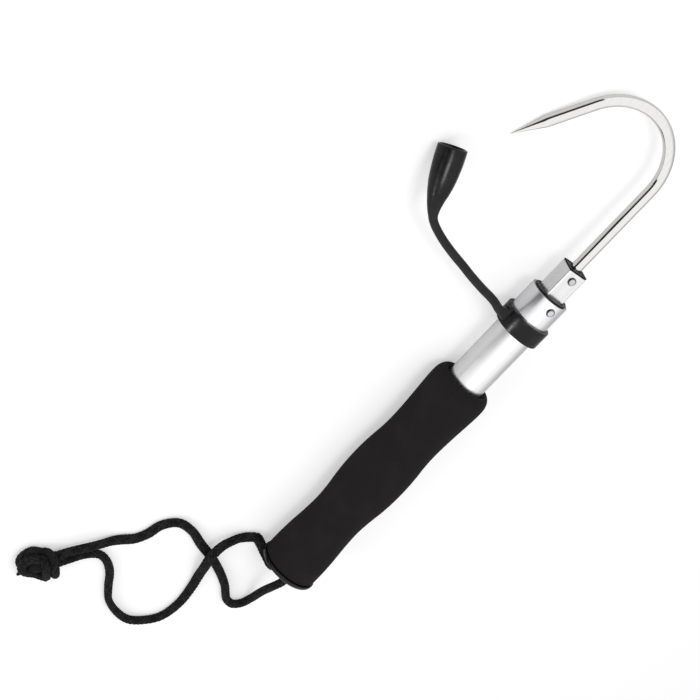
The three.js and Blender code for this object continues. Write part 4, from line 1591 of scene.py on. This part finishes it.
@dataclass(frozen=True)
class Softbox:
    """A square lamp that faces a point on the table, or one that only some finishes mirror."""

    name: str
    place: Point
    aim: Point
    size: tuple[float, float]
    glow: float
    finishes: tuple[Finish, ...] = ()

    def build(self) -> None:
        """Hangs the lamp; one that names finishes only shows as a gleam on the pieces that have them."""
        lamp = bpy.data.lights.new(self.name, "AREA")
        lamp.shape = "RECTANGLE"
        lamp.size, lamp.size_y = self.size
        lamp.energy = self.glow * math.pi * self.size[0] * self.size[1]
        obj = bpy.data.objects.new(self.name, lamp)
        bpy.context.scene.collection.objects.link(obj)
        obj.location = self.place
        obj.rotation_euler = (Vector(self.aim) - Vector(self.place)).to_track_quat("-Z", "Y").to_euler()
        obj.visible_glossy, obj.visible_diffuse = bool(self.finishes), not self.finishes
        if self.finishes:
            names = {finish.name for finish in self.finishes}
            lit = bpy.data.collections.new(self.name + "_pieces")
            for piece in bpy.data.objects.values():
                if piece.type == "MESH" and names & set(piece.data.materials.keys()):
                    lit.objects.link(piece)
            obj.light_linking.receiver_collection = lit


@dataclass
class Studio:
    """The pale table, the white room, the lamps, a black card and the camera."""

    floor_half: float = 4.0
    room_level: float = 0.55
    lamps: tuple[Softbox, ...] = (
        Softbox("key_softbox", (0.42, 0.24, 1.05), (0.08, 0.06, 0.01), (0.42, 0.42), 5.0),
        Softbox("side_softbox", (-0.47, 0.82, 0.50), (0.08, 0.06, 0.01), (0.30, 0.45), 5.0),
        Softbox("gleam_right", (0.255, 0.49, 0.89), (0.075, 0.06, 0.01), (0.42, 0.24), 10.0, DARK_FINISHES),
        Softbox("gleam_left", (-0.275, 0.925, 0.366), (0.075, 0.06, 0.01), (0.40, 0.14), 20.0, DARK_FINISHES),
        Softbox("overhead", (-0.05, 0.22, 1.0), (0.03, -0.05, 0.02), (0.9, 0.8), 0.45, PALE_FINISHES),
    )
    flag_corners: tuple[Point, ...] = (
        (-0.04, 0.25, 0.0), (0.48, 0.25, 0.0), (0.48, 0.25, 0.20), (-0.04, 0.25, 0.20))
    card_tone: float = 0.01
    floor_drop: float = 0.00004
    floor_tone: float = 0.82
    # Darker tone, and its range of grazing angles, that the floor shows only in reflections: a painted
    # reflection.
    gloss_grazing_tone: float = 0.58
    gloss_grazing_run: tuple[float, float] = (0.70, 0.92)
    floor_glow: tuple[float, float] = (0.42, 0.03)
    sky_run: tuple[float, float] = (-0.95, -0.62)
    sky_levels: tuple[float, float] = (0.5, 1.02)
    camera_place: Point = (0.27555, 0.61725, 0.65453)
    camera_right: Point = (0.643156, -0.688981, 0.334150)
    camera_up: Point = (0.692354, 0.336822, -0.638120)
    camera_back: Point = (0.327103, 0.641760, 0.693648)
    lens: float = 92.571
    half_pixel: float = 0.5 / 700

    @staticmethod
    def sheet(name: str, corners: Sequence[Point], material: bpy.types.Material) -> Piece:
        """Makes a flat sheet of the studio from its four corners."""
        mesh = bpy.data.meshes.new(name)
        mesh.from_pydata(corners, [], [(0, 1, 2, 3)])
        mesh.materials.append(material)
        return new_object(name, mesh)

    def floor(self) -> None:
        """Lays the table's white top, which in reflections alone glows faintly and is painted darker at
        grazing angles.
        """
        material, wires = blank_material("white_table")
        path = wires.add("ShaderNodeLightPath")
        glossy = path.outputs["Is Glossy Ray"]
        to_eye, to_gloss = self.floor_glow
        # Glow for the eye, as a white backdrop, and a faint glow seen only in gloss, a painted brightening of
        # reflections.
        glow = wires.number(
            "ADD", wires.product(path.outputs["Is Camera Ray"], to_eye), wires.product(glossy, to_gloss))
        # Painted reflection: seen in gloss alone, the floor turns darker at grazing angles, which lays a dark
        # band in the metals' reflections.
        grazing = wires.add("ShaderNodeLayerWeight", {"Blend": 0.5}).outputs["Facing"]
        far = wires.product(glossy, wires.spread(grazing, *self.gloss_grazing_run))
        tone = wires.mixed(far, colour(*[self.floor_tone] * 3), colour(*[self.gloss_grazing_tone] * 3))
        shader = wires.add("ShaderNodeBsdfPrincipled", {
            "Base Color": tone, "Roughness": 0.9, "Specular IOR Level": 0.1,
            "Emission Color": colour(1, 1, 1), "Emission Strength": glow})
        wires.add("ShaderNodeOutputMaterial", {0: shader})
        half = self.floor_half
        top = self.sheet(
            "table_top", [(-half, -half, 0), (half, -half, 0), (half, half, 0), (-half, half, 0)], material)
        top.location.z = -self.floor_drop

    def flag(self) -> None:
        """Stands a black card beyond the hook, which only shows as the dark line in its polish."""
        material, wires = blank_material("black_card")
        shader = wires.add("ShaderNodeBsdfPrincipled", {"Base Color": colour(*[self.card_tone] * 3)})
        wires.add("ShaderNodeOutputMaterial", {0: shader})
        card = self.sheet("black_flag", self.flag_corners, material)
        card.visible_camera = card.visible_diffuse = card.visible_shadow = card.visible_transmission = False

    def room(self) -> None:
        """Fills the room with even light, and shows it white to the eye, in gloss and through glass."""
        world = bpy.data.worlds.new("white_room")
        world.use_nodes = True
        world.node_tree.nodes.clear()
        wires = Wiring(world.node_tree)
        path = wires.add("ShaderNodeLightPath")
        ways = wires.add("ShaderNodeTexCoord").outputs["Generated"]
        ways = wires.vector("NORMALIZE", ways)
        side = wires.add("ShaderNodeSeparateXYZ", {0: ways})
        side = side.outputs[1]
        ends = {0: side, 1: self.sky_run[0], 2: self.sky_run[1], 3: self.sky_levels[0], 4: self.sky_levels[1]}
        gloss = wires.product(path.outputs["Is Glossy Ray"], wires.add("ShaderNodeMapRange", ends))
        plain = wires.number(
            "MAXIMUM", path.outputs["Is Camera Ray"], path.outputs["Is Transmission Ray"])
        diffuse = wires.product(
            self.room_level, wires.number("SUBTRACT", 1.0, path.outputs["Is Glossy Ray"]))
        level = wires.number("MAXIMUM", plain, wires.number("ADD", gloss, diffuse))
        sky = wires.add("ShaderNodeBackground", {"Color": colour(1, 1, 1), "Strength": level})
        wires.add("ShaderNodeOutputWorld", {0: sky})
        bpy.context.scene.world = world

    def camera(self) -> None:
        """Stands the camera where the photograph was taken from."""
        lens = bpy.data.cameras.new("photo_camera")
        lens.lens = self.lens
        lens.sensor_width = 36.0
        lens.shift_x, lens.shift_y = -self.half_pixel, self.half_pixel
        lens.clip_start, lens.clip_end = 0.01, 50.0
        obj = bpy.data.objects.new("photo_camera", lens)
        bpy.context.scene.collection.objects.link(obj)
        turn = Matrix((self.camera_right, self.camera_up, self.camera_back)).transposed().to_4x4()
        obj.matrix_world = Matrix.Translation(self.camera_place) @ turn
        bpy.context.scene.camera = obj

    def build(self) -> None:
        """Sets up the whole studio once every piece has its finish."""
        self.camera()
        self.floor()
        self.flag()
        self.room()
        for lamp in self.lamps:
            lamp.build()
        bpy.context.scene.view_settings.view_transform = "Standard"


def main() -> None:
    """Builds the studio and every sub-assembly in order."""
    logging.basicConfig(level=logging.INFO, format="%(name)s: %(message)s")
    Lanyard().build(BraidedCord())
    rivets = RivetHeads()
    Handle().build(rivets)
    Grip().build()
    ButtCap().build()
    InnerTube().build(rivets)
    Hook().build(DrawnWire())
    Guard().build()
    HiddenWorks().build()
    Studio().build()


if __name__ == "__main__":
    main()
